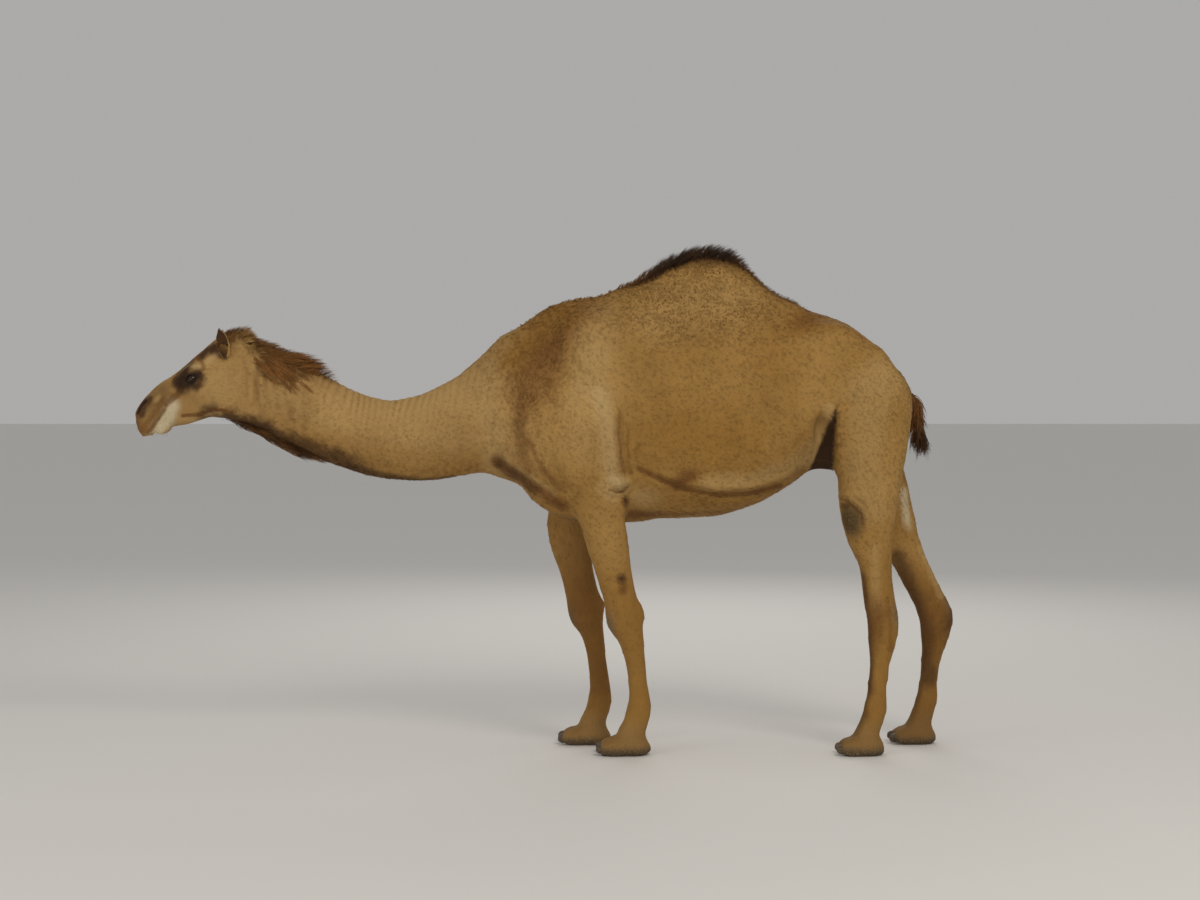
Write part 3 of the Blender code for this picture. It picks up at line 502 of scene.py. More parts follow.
# the face, in the head's own directions: along from the poll, above its axis
mouthLine = [(0.52, -0.04), (0.469, -0.022), (0.43, -0.006), (0.39, 0.014), (0.345, 0.036)]
nostrilLine = [(0.404, 0.102), (0.436, 0.0925), (0.46, 0.074)]
jawLine = [(0.325, -0.01), (0.27, -0.036), (0.2, -0.064), (0.11, -0.094)]
faceFolds = {
    "mouth corner": ([(0.35, 0.052), (0.335, 0.036), (0.33, 0.016)], 0.006, 0.003, 0.002),
    "cheek": ([(0.318, 0.05), (0.304, 0.026), (0.3, 0.0)], 0.008, 0.002, 0.001),
    "nose": ([(0.395, 0.07), (0.372, 0.058), (0.35, 0.06)], 0.007, 0.002, 0.0),
    "jaw": (jawLine, 0.007, 0.003, 0.0015),
    "tear": ([(0.238, 0.074), (0.262, 0.06), (0.29, 0.052)], 0.007, 0.0022, 0.0),
    "throat": ([(-0.01, 0.06), (-0.025, -0.01), (-0.012, -0.08), (0.01, -0.14)], 0.009, 0.0036, 0.002),
    "throat two": (
        [(-0.05, 0.05), (-0.062, -0.02), (-0.048, -0.09), (-0.03, -0.15)],
        0.009, 0.0036, 0.002,
    ),
    "throat three": ([(-0.09, 0.03), (-0.1, -0.04), (-0.086, -0.11)], 0.01, 0.0036, 0.002),
    "throat four": ([(-0.132, 0.02), (-0.14, -0.05), (-0.128, -0.11)], 0.01, 0.003, 0.002),
}


def faceRelief(points, normals):
    along, out, above = onHead(points)
    sideways = ease(0.15, 0.55, np.abs(normals[:, 1]))
    relief = np.zeros(len(points))
    away, share, side = nearLine(along, above, mouthLine)
    fade = ease(0, 0.12, 1 - share)
    relief -= 0.0048 * bell(away, 0.004) * fade
    relief += 0.003 * bell(away - 0.012, 0.008) * (side < 0) * fade
    relief += 0.002 * bell(away - 0.01, 0.007) * (side > 0) * fade
    away, share, side = nearLine(along, above, nostrilLine)
    ends = ease(0, 0.18, share) * ease(0, 0.18, 1 - share)
    beside = ease(0.014, 0.022, np.abs(out)) * sideways
    relief -= 0.011 * bell(away, 0.0036) * ends * beside
    relief += 0.0026 * bell(away - 0.009, 0.005) * beside * ends
    cleft = ease(0.44, 0.462, along) * ease(-0.03, -0.01, above) * fall(0.05, 0.078, above)
    relief -= 0.0034 * bell(out, 0.0045) * cleft
    for shape in faceFolds.values():
        relief += fold(along, above, *shape) * sideways
    # the soft split pads of the lips, and small unevenness
    lips = ease(0.36, 0.42, along) * fall(0.06, 0.09, above)
    relief += cloudy(points, 0.01, 8) * 0.0007 * lips
    return relief + cloudy(points, 0.022, 9) * 0.0005


def refine(obj, wanted):
    bm = opened(obj.data)
    bm.faces.ensure_lookup_table()
    edges = {edge for i in np.nonzero(wanted)[0] for edge in bm.faces[i].edges}
    bmesh.ops.subdivide_edges(bm, edges=list(edges), cuts=1, use_grid_fill=True)
    closed(bm, obj.data)


def ofFaces(mesh, key):
    return readFlat(mesh.polygons, key).astype(float)


def nearFeatures(points):
    x, y, z = points.T
    along, _, above = onHead(points)
    wanted = (z < 0.1) | (flankHollow(points, 0.05) > 0.05)
    for line, wide, *_ in [bodyFolds[k] for k in ("flank", "behind arm", "elbow", "stifle", "stifle two")]:
        wanted |= (nearLine(x, z, line)[0] < wide * 2.2) & (np.abs(y) > 0.08)
    for line in (mouthLine, nostrilLine):
        wanted |= (nearLine(along, above, line)[0] < 0.014) & (along > 0.3)
    for middle in eyeMiddle.values():
        wanted |= fromEye(points, middle) < 2.0
    return wanted


def wrinkled(points, normals):
    return neckWrinkles(points, normals)[1] > 0.22


# the skin is opened at each eye: behind the lids it turns in past the eyeball
def openEyes(points, within=1.55, beyond=2.0):
    for middle in eyeMiddle.values():
        apart = points - middle
        far = np.linalg.norm(apart, axis=1)
        outwards = np.sign(middle[1]) * apart[:, 1] / np.maximum(far, 1e-6)
        share = fall(within, beyond, far / eyeRadius) * ease(0.0, 0.2, outwards)
        behind = np.minimum(far, eyeRadius * 0.86)
        points = middle + apart * ((far + (behind - far) * share) / np.maximum(far, 1e-6))[:, None]
    return points


# the lids and the folds round them: a thick sheet from the eye's opening out to under the skin,
# in angles from the way the eye looks
lidShape = {
    "corner": 60, "upper": 37, "lower": 30, "edge": 0.002, "around": 72, "rows": 20, "reach": 2.25,
    "thick": 0.0018,
}
# rolls and creases of the lids: height, share of the way out to the skin, width, and which lid
lidForms = [
    (-0.0016, 0.2, 0.045, "upper"), (0.0022, 0.42, 0.16, "upper"),
    (0.0014, 0.22, 0.07, "lower"), (-0.0012, 0.36, 0.05, "lower"),
]


def eyeWays(side):
    outwards = unit(np.array([-0.16, -1.0 if side == "left" else 1.0, 0.1]))
    forwards = unit(alongWay - outwards * (alongWay @ outwards))
    upwards = aboveWay - outwards * (aboveWay @ outwards) - forwards * (aboveWay @ forwards)
    return outwards, forwards, unit(upwards)


# the almond opening: how far up or down its edge lies, from corner to corner
def lidEdge(turn):
    across, up = math.cos(turn), math.sin(turn)
    high = lidShape["upper"] if up > 0 else lidShape["lower"]
    wide = lidShape["corner"] * across
    tall = high * math.copysign(abs(up) ** 1.25, up)
    return math.radians(wide), math.radians(tall - 4 * across)


def eyeLids(side, around):
    middle, (outwards, forwards, upwards) = eyeMiddle[side], eyeWays(side)
    count, rows = lidShape["around"], lidShape["rows"]
    points = []
    for i in range(count):
        turn = 2 * math.pi * i / count
        up, down = max(math.sin(turn), 0), max(-math.sin(turn), 0)
        wide, tall = lidEdge(turn)
        first = unit(outwards + forwards * math.tan(wide) + upwards * math.tan(tall))
        last = forwards * math.cos(turn) + upwards * math.sin(turn) - outwards * 0.05
        for t in np.arange(rows) / (rows - 1):
            way = unit(first * (1 - t) + last * t)
            hit = around.ray_cast(Vector(middle), Vector(way), 0.12)[3]
            ball = eyeRadius * 1.03 + lidShape["edge"] * ease(0.0, 0.1, t)
            skinAt = min(hit or ball, eyeRadius * lidShape["reach"])
            far = ball + (max(skinAt, ball) - ball) * ease(0.05, 0.55, t)
            far -= 0.0022 * ease(0.8, 1.0, t)
            for high, at, wideness, half in lidForms:
                far += high * bell(t - at, wideness) * (up if half == "upper" else down)
            points.append(middle + way * far)
    mesh = meshOf("lids " + side, points, gridFaces(count, rows, lanesRound=True))
    obj = shown("lids", sheetTo(mesh, lambda face: Vector(outwards)))
    modified(obj, "SOLIDIFY", thickness=lidShape["thick"], offset=-1)
    return applied(obj)


def joinedInto(obj, others):
    bm = opened(obj.data)
    for other in others:
        bm.from_mesh(other.data)
        bpy.data.objects.remove(other)
    closed(bm, obj.data)


def carvedSkin():
    obj = fusedSkin()
    mesh = obj.data
    points = pointsOf(mesh)
    setPoints(mesh, points - normalsOf(mesh) * coatDepth(points)[:, None])
    refine(obj, nearFeatures(ofFaces(mesh, "center")))
    refine(obj, wrinkled(ofFaces(mesh, "center"), ofFaces(mesh, "normal")))
    points, normals = pointsOf(mesh), normalsOf(mesh)
    along = onHead(points)[0]
    relief = bodyRelief(points, normals) * fall(-0.1, 0.0, along)
    relief += faceRelief(points, normals) * ease(-0.22, -0.1, along)
    points = points + normals * relief[:, None]
    points[:, 2] = np.maximum(points[:, 2], 0.0005)
    setPoints(mesh, points)
    around = searchTree(mesh)
    lids = [eyeLids(side, around) for side in eyeMiddle]
    setPoints(mesh, openEyes(points))
    joinedInto(obj, lids)
    mesh.shade_smooth()
    return obj


def trianglesOf(mesh):
    return len(mesh.loops) - 2 * len(mesh.polygons)


skin = carvedSkin()
say(f"skin carved: {trianglesOf(skin.data)} triangles")


# the coat's colours, and where each lies; the tufts take them from the skin at their roots
tone = {
    "tan": (0.368, 0.212, 0.072),
    "body": (0.345, 0.19, 0.052),
    "light": (0.44, 0.28, 0.108),
    "pale": (0.52, 0.37, 0.175),
    "white": (0.61, 0.51, 0.33),
    "rust": (0.205, 0.088, 0.024),
    "orange": (0.275, 0.138, 0.029),
    "brown": (0.155, 0.068, 0.019),
    "dark": (0.07, 0.033, 0.014),
    "black": (0.022, 0.013, 0.009),
    "grey": (0.165, 0.12, 0.074),
    "pad": (0.128, 0.08, 0.034),
    "muzzle": (0.18, 0.103, 0.038),
}
tone = {name: np.array(colour) for name, colour in tone.items()}
# marks seen from the side, x and z: a line as a list of points, or a spot with two radii and a lean;
# then a line's half width (1 for a spot, 0 where its edge is hard), tone, strength, and raggedness
bodyMarks = [
    (
        [(-1.27, 1.36), (-1.03, 1.26), (-0.71, 1.17), (-0.43, 1.14), (-0.25, 1.12)],
        0.07, "orange", 0.5, 0.4,
    ),
    ([(-0.8, 1.5), (-0.6, 1.43), (-0.4, 1.42), (-0.22, 1.5)], 0.08, "light", 0.55, 0.5),
    ([(-0.24, 1.38), (-0.2, 1.24), (-0.2, 1.13)], 0.06, "light", 0.7, 0.4),
    ((0.58, 1.78, 0.3, 0.13, 0), 1, "light", 0.45, 0.6),
    ((0.17, 1.36, 0.09, 0.2, -8), 1, "light", 0.6, 0.5),
    ((0.58, 1.24, 0.34, 0.17, -6), 1, "orange", 0.75, 0.7),
    ((0.8, 1.58, 0.2, 0.16, 0), 1, "orange", 0.35, 0.7),
    ([(0.32, 0.952), (0.5, 0.94), (0.7, 0.943), (0.86, 0.975), (1.0, 1.05)], 0.02, "brown", 0.85, 0.7),
    ((0.375, 1.02, 0.065, 0.045, -10), 1, "light", 0.8, 0.6),
    # painted shade: brown line in the groove between the arm and the breast
    ([(-0.075, 1.25), (-0.02, 1.14), (0.06, 1.05)], 0.012, "brown", 0.6, 0.6),
    ([(-0.1, 1.14), (-0.05, 1.085), (0.02, 1.035)], 0.016, "light", 0.7, 0.5),
    ([(0.62, 1.08), (0.8, 1.09), (0.95, 1.14), (1.05, 1.22)], 0.036, "light", 0.65, 0.6),
    ([(0.13, 1.745), (0.03, 1.66), (-0.035, 1.56), (-0.06, 1.46)], 0.098, "rust", 0.62, 0.8),
    ((-0.005, 1.61, 0.09, 0.15, -24), 1, "brown", 0.62, 0.9),
    ((0.175, 1.58, 0.085, 0.19, -16), 1, "light", 0.8, 0.5),
    ([(0.1, 1.76), (0.02, 1.72), (-0.07, 1.64), (-0.15, 1.55)], 0.05, "orange", 0.7, 1.0),
    ([(-0.1, 1.37), (-0.106, 1.3), (-0.098, 1.21), (-0.075, 1.12)], 0.024, "brown", 0.55, 0.7),
    # painted shade: the next two marks, a brown and a dark wedge where the neck meets the breast, stand for
    # the shade of that fold
    (
        [(-0.205, 1.16), (-0.15, 1.118), (-0.09, 1.08), (0.0, 1.025), (0.07, 0.985)],
        0.024, "brown", 0.9, 0.7,
    ),
    ([(-0.19, 1.15), (-0.15, 1.122), (-0.1, 1.09), (-0.04, 1.055)], 0.026, "dark", 0.45, 0.9),
    ([(0.205, 1.42), (0.232, 1.33), (0.245, 1.24), (0.25, 1.12), (0.262, 1.04)], 0.04, "pale", 0.5, 0.5),
    # painted shade: the next two brown lines lie in the grooves behind the arm
    ([(0.284, 1.36), (0.28, 1.27), (0.288, 1.18), (0.306, 1.09)], 0.0075, "brown", 0.6, 0.8),
    ([(0.318, 1.3), (0.312, 1.22), (0.322, 1.12)], 0.006, "brown", 0.4, 0.8),
    # painted shade: brown line along the flank fold, under its roll
    (
        [(0.36, 1.136), (0.46, 1.086), (0.54, 1.057), (0.66, 1.035), (0.79, 1.037), (0.92, 1.067)],
        0.011, "brown", 0.85, 0.7,
    ),
    ((0.54, 1.098, 0.066, 0.034, 25), 1, "brown", 1.0, 0.9),
    # painted light: pale line along the front edge of the flank hollow, lifting the shade of its slope
    ([(1.03, 1.15), (1.058, 1.23), (1.08, 1.3), (1.1, 1.37)], 0.026, "light", 0.75, 0.4),
    ((1.06, 1.725, 0.12, 0.05, 26), 1, "orange", 0.9, 0.8),
    ((1.035, 1.724, 0.09, 0.04, 30), 1, "rust", 0.65, 0.9),
    # painted highlights: the next two light marks, on the rump and down the thigh
    ((1.28, 1.47, 0.13, 0.09, 30), 1, "light", 0.7, 0.5),
    ([(1.25, 1.34), (1.24, 1.12), (1.26, 0.98)], 0.075, "light", 0.6, 0.5),
    ((1.186, 0.934, 0.052, 0.07, 0), 0, "pad", 0.95, 0.5),
    (
        [(1.132, 0.975), (1.16, 0.992), (1.195, 0.99), (1.226, 0.962), (1.238, 0.92)],
        0.006, "dark", 0.55, 0.7,
    ),
    (
        [(1.14, 1.02), (1.175, 1.008), (1.215, 0.975), (1.238, 0.935), (1.244, 0.885)],
        0.006, "brown", 0.7, 0.4,
    ),
    ((0.235, 1.06, 0.05, 0.034, 0), 1, "light", 0.8, 0.7),
    # painted highlight on the top of the elbow knob, then painted shade in the crease beneath it
    ((0.278, 1.086, 0.042, 0.026, 0), 1, "pale", 0.75, 0.5),
    ([(0.246, 1.052), (0.272, 1.044), (0.298, 1.048), (0.316, 1.066)], 0.0055, "brown", 0.75, 0.5),
    ((0.308, 1.006, 0.018, 0.03, 15), 1, "brown", 0.95, 0.5),
    ((0.309, 1.004, 0.009, 0.02, 15), 1, "dark", 0.6, 0.5),
]
napePatch = (-1.075, 1.54, 0.07, 0.048, -35)
underNeck = [(-0.8, 1.138), (-0.7, 1.106), (-0.62, 1.086), (-0.5, 1.066), (-0.38, 1.078)]
throatLine = [(-1.33, 1.335), (-1.2, 1.295), (-1.03, 1.225), (-0.87, 1.17), (-0.72, 1.125)]
hamStripe = [(1.438, 1.03), (1.444, 0.95), (1.456, 0.88)]
# on the legs of one side: -1 the left, 1 the right
legMarks = [
    (-1, (0.294, 0.702, 0.022, 0.02, 0), 1, "dark", 1.0),
    (-1, (0.298, 0.654, 0.02, 0.022, 0), 1, "brown", 1.0),
    (-1, (0.246, 0.7, 0.011, 0.016, 0), 1, "brown", 0.45),
    (-1, [(1.234, 0.7), (1.242, 0.6), (1.254, 0.45), (1.262, 0.26)], 0.022, "dark", 0.75),
    (-1, [(1.284, 0.82), (1.29, 0.68), (1.298, 0.58)], 0.022, "light", 0.5),
    (-1, (1.292, 0.545, 0.04, 0.095, 0), 1, "brown", 0.75),
    # painted shade: the far foreleg, which lies in the body's shade, made browner
    (1, [(0.06, 1.0), (0.12, 0.78), (0.17, 0.55), (0.19, 0.3)], 0.11, "brown", 0.4),
    (-1, [(1.335, 0.62), (1.348, 0.52), (1.35, 0.42)], 0.012, "brown", 0.5),
    (1, [(1.418, 0.76), (1.488, 0.61), (1.532, 0.44), (1.545, 0.26)], 0.034, "dark", 0.75),
    (1, [(1.505, 0.8), (1.552, 0.7), (1.592, 0.6)], 0.014, "light", 0.6),
    (1, [(1.56, 0.74), (1.6, 0.64), (1.64, 0.54)], 0.01, "brown", 0.6),
    (1, (1.56, 0.48, 0.07, 0.13, 0), 1, "brown", 0.5),
    (1, (1.645, 0.49, 0.046, 0.075, 0), 1, "dark", 0.85),
]
# on the head: along from the poll and above its axis
faceMarks = [
    ((0.375, 0.082, 0.095, 0.05, -14), 1, "muzzle", 0.85, 0.6),
    ([(0.44, 0.1), (0.478, 0.06), (0.482, 0.01)], 0.026, "brown", 0.75, 0.6),
    ([(0.345, 0.062), (0.4, 0.034), (0.46, 0.004)], 0.02, "brown", 0.6, 0.6),
    ((0.11, 0.02, 0.09, 0.08, 0), 1, "light", 0.55, 0.5),
    ([(0.325, 0.03), (0.355, 0.004), (0.405, -0.02), (0.45, -0.052)], 0.03, "white", 0.95, 0.5),
    # painted light and shade at the jaw's edge: a pale lit strip beside it, then a brown line along it
    ([(0.33, -0.03), (0.26, -0.052), (0.17, -0.085)], 0.014, "light", 0.8, 0.5),
    (
        [(0.307, -0.022), (0.241, -0.051), (0.185, -0.057), (0.15, -0.078), (0.124, -0.104)],
        0.008, "brown", 0.85, 0.9,
    ),
    # painted shade: brown line in the groove of the lips
    ([(0.345, 0.042), (0.407, 0.012), (0.46, -0.018)], 0.0095, "brown", 0.55, 0.9),
    ([(0.244, 0.08), (0.285, 0.062), (0.322, 0.056), (0.345, 0.052)], 0.013, "brown", 0.75, 0.8),
    (
        [(0.255, 0.12), (0.215, 0.142), (0.16, 0.16), (0.118, 0.166), (0.069, 0.158), (0.04, 0.128)],
        0.021, "brown", 0.85, 0.8,
    ),
    ([(0.128, 0.152), (0.1, 0.164), (0.064, 0.15), (0.046, 0.112)], 0.021, "dark", 1.0, 0.8),
    ([(0.19, 0.138), (0.222, 0.126), (0.248, 0.112), (0.266, 0.096)], 0.022, "dark", 0.9, 0.6),
    ([(0.255, 0.1), (0.228, 0.104), (0.2, 0.09), (0.17, 0.086)], 0.027, "dark", 0.97, 0.5),
    ((0.226, 0.084, 0.044, 0.03, -20), 1, "dark", 0.9, 0.6),
    ((0.186, 0.054, 0.026, 0.018, -15), 1, "dark", 0.9, 0.8),
    ((0.16, 0.123, 0.024, 0.011, 25), 1, "pale", 0.7, 0.6),
    ((0.102, 0.122, 0.034, 0.013, -8), 1, "pale", 0.45, 0.8),
    ([(0.142, 0.15), (0.134, 0.118), (0.14, 0.1)], 0.0095, "brown", 0.6, 0.7),
    ((0.208, 0.088, 0.052, 0.032, -12), 1, "black", 0.6, 0.5),
    ((0.198, 0.087, 0.034, 0.02, -8), 1, "black", 0.9, 0.3),
    ([(0.206, 0.128), (0.236, 0.112), (0.258, 0.096)], 0.014, "black", 0.45, 0.8),
    ([(0.392, 0.098), (0.424, 0.084), (0.45, 0.062)], 0.018, "dark", 0.9, 0.8),
    ((0.366, 0.086, 0.02, 0.011, -20), 1, "light", 0.7, 0.6),
    # painted shade: black line in the slit of the nostril
    ([(0.408, 0.1), (0.436, 0.0915), (0.462, 0.073)], 0.008, "black", 0.9, 0.3),
    ([(0.415, 0.112), (0.455, 0.098)], 0.014, "dark", 0.6, 0.5),
    ((-0.015, 0.165, 0.055, 0.03, 0), 1, "brown", 0.65, 0.8),
    (
        [(0.232, -0.086), (0.19, -0.112), (0.15, -0.152), (0.09, -0.19), (0.03, -0.22)],
        0.036, "dark", 0.8, 0.8,
    ),
]


def markShare(place, half, a, b, ragged=0.0):
    if isinstance(place, list):
        away = nearLine(a, b, place)[0] / half
    else:
        a0, b0, ra, rb, lean = place
        away = np.hypot(*leaning(a - a0, b - b0, lean) / np.array([[ra], [rb]]))
    soft = 0.25 if half > 0.02 else 0.0
    return fall(0.45 - soft, 1.35 + soft, away + ragged)


def laid(colour, share, name, strength=1.0):
    share = (np.clip(share, 0, 1) * strength)[:, None]
    return colour * (1 - share) + tone[name] * share


def markings(points, normals):
    x, y, z = points.T
    along, _, above = onHead(points)
    colour = np.tile(tone["tan"], (len(points), 1))
    head, leg, foot, _ = bodyShares(points)
    broad, fine, speck = cloudy(points, 0.16, 11), cloudy(points, 0.035, 12), cloudy(points, 0.014, 13)
    ragged = fine * 0.3 + speck * 0.22
    sideways = ease(0.1, 0.45, np.abs(normals[:, 1]))
    upwards = ease(0.35, 0.9, normals[:, 2])
    downwards = ease(0.25, 0.8, -normals[:, 2])
    body = 1 - head

    def lay(share, name, strength=1.0):
        colour[:] = laid(colour, share, name, strength)

    def layMarks(marks, a, b, zone):
        for place, half, name, strength, rag in marks:
            lay(markShare(place, half, a, b, ragged * rag) * zone(name), name, strength)

    def onLine(line, low, high, half, rag):
        return fall(low, high, nearLine(x, z, line)[0] / half + ragged * rag)

    lay(body * ease(-0.25, 0.05, x), "body")
    lay(broad * 0.5 + 0.2, "light", 0.5)
    lay(body * fall(-0.45, -0.2, x), "light", 0.4)
    lay(upwards * body * ease(-0.25, 0.0, x), "orange", 0.6)
    lay(leg * (1 - foot), "orange", 0.7)
    lay(downwards * body * (1 - leg), "orange", 0.5)
    trunk = body * ease(0.8, 0.95, z)
    layMarks(bodyMarks, x, z, lambda name: sideways * (1 if name == "pad" else trunk))

    # the dark line of the back, from the withers over the hump to the tail
    spine = fall(0.4, 1.3, np.abs(y) / 0.045 + ragged * 0.8)
    spine *= band(x, 0.1, 0.4, 1.18, 1.36) * ease(1.4, 1.6, z)
    lay(spine * upwards, "brown", 0.85)
    lay(ease(1.9, 1.97, z + ragged * 0.03) * ease(0.3, 0.45, x), "dark", 0.8)
    # nape and throat, under their long hair
    nape = band(x, -1.19, -1.11, -0.9, -0.8)
    lay(nape * upwards * fall(0.05, 0.09, np.abs(y)), "brown", 0.9)
    lay(markShare(napePatch, 1, x, z, ragged * 0.8) * body, "brown", 0.9)
    lay(onLine(underNeck, 0.5, 1.5, 0.02, 0.6) * body, "dark", 0.8)
    throat = onLine(throatLine, 0.5, 1.3, 0.052, 0.9) * fall(-0.84, -0.68, x)
    lay(throat * ease(-0.45, -0.1, -normals[:, 2]), "dark", 0.85)

    # legs: dark front edges behind, pale insides, bare grey on the knees and the chest pad
    hind = ease(1.0, 1.1, x) * leg
    lay(hind * ease(0.35, 0.85, -normals[:, 0] + ragged * 0.3), "dark", 0.6)
    inner = ease(0.2, 0.7, -normals[:, 1] * np.sign(y)) * body
    stripe = onLine(hamStripe, 0.3, 1.7, 0.016, 0.5) * (x > 1.2) * ease(0.84, 0.93, z)
    lay(stripe * inner, "white", 0.8)
    # painted shade: the lower inner sides of the hind legs made browner
    lay(hind * inner * fall(0.58, 0.82, z), "brown", 0.35)
    lay(hind * fall(0.16, 0.4, z) * ease(0.2, 0.8, ragged * 0.5 + 0.5), "brown", 0.3)
    tail = ease(1.37, 1.4, x) * ease(0.0, 0.12, 1.62 - z) * (z > 1.1) * (np.abs(y) < 0.045)
    # painted shade: the hollow between belly and thigh is laid dark, and near black
    hollow = flankHollow(points)
    lay(hollow, "dark", 0.97)
    lay(hollow, "black", 0.5)
    lay(tail * (0.35 + 0.65 * ease(1.54, 1.38, z + ragged * 0.04)), "dark", 0.8)
    knee = bell(z - 0.52, 0.05) * (x < 0.7) * ease(0.2, 0.7, -normals[:, 0])
    hock = bell(z - 0.56, 0.045) * (x > 0.9) * ease(0.3, 0.8, normals[:, 0])
    lay((knee + hock) * (1 + ragged), "grey", 0.75)
    # painted shade: the inner sides of the forelegs made browner
    lay(leg * (1 - foot) * inner * (x < 0.7), "brown", 0.3)
    for hand, *mark in legMarks:
        layMarks([mark + [0.8]], x, z, lambda name: (y * hand > 0) * sideways * (1 - foot))
    pad = downwards * bell(x - 0.17, 0.11) * fall(0.05, 0.085, np.abs(y)) * (z > 0.7)
    lay(pad, "grey", 0.9)
    lay(foot, "muzzle", 0.6)
    lay(fall(0.012, 0.045, z + ragged * 0.02), "grey", 0.85)

    # painted shade in the grooves of the neck's wrinkles, and painted light on their ridges
    wave, share = neckWrinkles(points, normals)
    share = share * (0.65 + 0.35 * fine)
    lay((0.2 - wave) * share * 1.2, "brown", 0.42)
    lay(wave * share * 0.9, "light", 0.45)
    # long folds behind the jaw
    strand = ease(0.0, 0.7, cloudy(points * [1, 1, 0.14], 0.015, 95))
    lay(strand * bell(along + 0.06, 0.1) * fall(-0.02, 0.08, above), "brown", 0.45)
    snout = np.maximum(ease(0.36, 0.41, along), sideways)
    layMarks(faceMarks, along, above, lambda name: head * snout)
    for middle in eyeMiddle.values():
        lay(fall(1.08, 1.3, fromEye(points, middle)), "black", 0.9)
    worn = (fine * 0.6 + speck * 0.4)[:, None]
    return np.clip(colour * (1 + 0.08 * broad[:, None] + 0.06 * worn), 0.004, 0.8)


def store(mesh, name, kind, values, domain="POINT"):
    if name in mesh.attributes:
        mesh.attributes.remove(mesh.attributes[name])
    made = mesh.attributes.new(name, kind, domain)
    key = {"FLOAT": "value", "FLOAT_VECTOR": "vector", "FLOAT_COLOR": "color"}[kind]
    made.data.foreach_set(key, np.ascontiguousarray(values, np.float32).ravel())


def storeColour(mesh, colour, name="coatColour"):
    store(mesh, name, "FLOAT_COLOR", np.hstack([colour, np.ones((len(colour), 1))]))


# bare callused places, on the stifle and the elbow
padPlaces = ((1.186, 0.926, 0.042, 0.06), (0.307, 1.008, 0.014, 0.026))


def barePads(points):
    x, y, z = points.T
    bare = fall(0.01, 0.05, z)
    for x0, z0, rx, rz in padPlaces:
        spot = np.exp(-(((x - x0) / rx) ** 2) - ((z - z0) / rz) ** 2) * (np.abs(y) > 0.05)
        bare = np.maximum(bare, spot)
    return bare


# the woolly part of the coat: the hump's top, the withers and the dark patch of the shoulder
woolLine = [(0.1, 1.8), (0.0, 1.64), (-0.06, 1.5), (-0.1, 1.36)]


def woolly(points):
    x, _, z = points.T
    hump = ease(1.56, 1.76, z) * ease(0.2, 0.38, x) * fall(0.8, 1.02, x)
    shoulder = markShare(woolLine, 0.12, x, z)
    return np.clip(hump + shoulder * 0.5 + cloudy(points, 0.09, 71) * 0.25 * (hump + shoulder), 0, 1)


def paint(obj):
    mesh = obj.data
    points, normals = pointsOf(mesh), normalsOf(mesh)
    storeColour(mesh, markings(points, normals))
    store(mesh, "bareShare", "FLOAT", barePads(points))
    store(mesh, "woolShare", "FLOAT", woolly(points))


def unwrap(obj):
    bpy.ops.object.select_all(action="DESELECT")
    bpy.context.view_layer.objects.active = obj
    obj.select_set(True)
    obj.data.uv_layers.new(name="OFBake")
    bpy.ops.object.mode_set(mode="EDIT")
    bpy.ops.mesh.select_all(action="SELECT")
    bpy.ops.uv.smart_project(angle_limit=math.radians(66), island_margin=0.002)
    bpy.ops.object.mode_set(mode="OBJECT")


paint(skin)
say("skin painted")
unwrap(skin)
say("skin unwrapped")


# tufts: each is a few closed blades, one unit long, that leave the hide at the root and lie along +X
tuftShapes = {
    # path: along and above, root to tip; wide: half widths there
    "flat": {
        "path": [(-0.06, -0.09), (1.0, 0.096)],
        "wide": [0.052, 0.0],
        "blades": 7, "spread": 0.46, "stagger": 0.28, "fan": 9, "curl": 0.0, "ridge": 0.36,
    },
    "wool": {
        "path": [(-0.05, -0.14), (0.26, 0.3), (0.62, 0.42), (0.86, 0.16)],
        "wide": [0.085, 0.095, 0.07, 0.0],
        "blades": 3, "spread": 0.34, "stagger": 0.1, "fan": 22, "curl": 0.16, "ridge": 0.62,
    },
    "swept": {
        "path": [(-0.02, -0.06), (0.22, 0.07), (0.6, 0.1), (1.0, 0.0)],
        "wide": [0.017, 0.018, 0.014, 0.0],
        "blades": 3, "spread": 0.09, "stagger": 0.06, "fan": 9, "curl": 0.03, "ridge": 0.62,
    },
    "stand": {
        "path": [(-0.06, 0.0), (0.3, 0.05), (0.65, 0.04), (1.0, -0.06)],
        "wide": [0.034, 0.034, 0.024, 0.0],
        "blades": 3, "spread": 0.14, "stagger": 0.08, "fan": 14, "curl": 0.05, "ridge": 0.62,
    },
}
tuftVariants = 4


# three-sided rings one behind the other, closed at the root and drawn to a point
def spikeFaces(first, rings):
    faces = [(first, first + 1, first + 2)]
    for base in range(first, first + rings * 3, 3):
        for i in range(3):
            j = (i + 1) % 3
            if base < first + rings * 3 - 3:
                faces.append((base + i, base + 3 + i, base + 3 + j, base + j))
            else:
                faces.append((base + i, base + 3, base + j))
    return faces


def bladeRing(shape, step, bend, long, lift):
    a, h = shape["path"][step]
    wide = shape["wide"][step]
    t = step / (len(shape["path"]) - 1)
    side = bend * math.sin(t * math.pi * 1.2)
    ring = [(-wide, 0.0), (wide, 0.0), (0.0, wide * shape["ridge"])] if wide else [(0.0, 0.0)]
    return t, [(a * long, side + across, h * (lift if h > 0 else 1) + up) for across, up in ring]


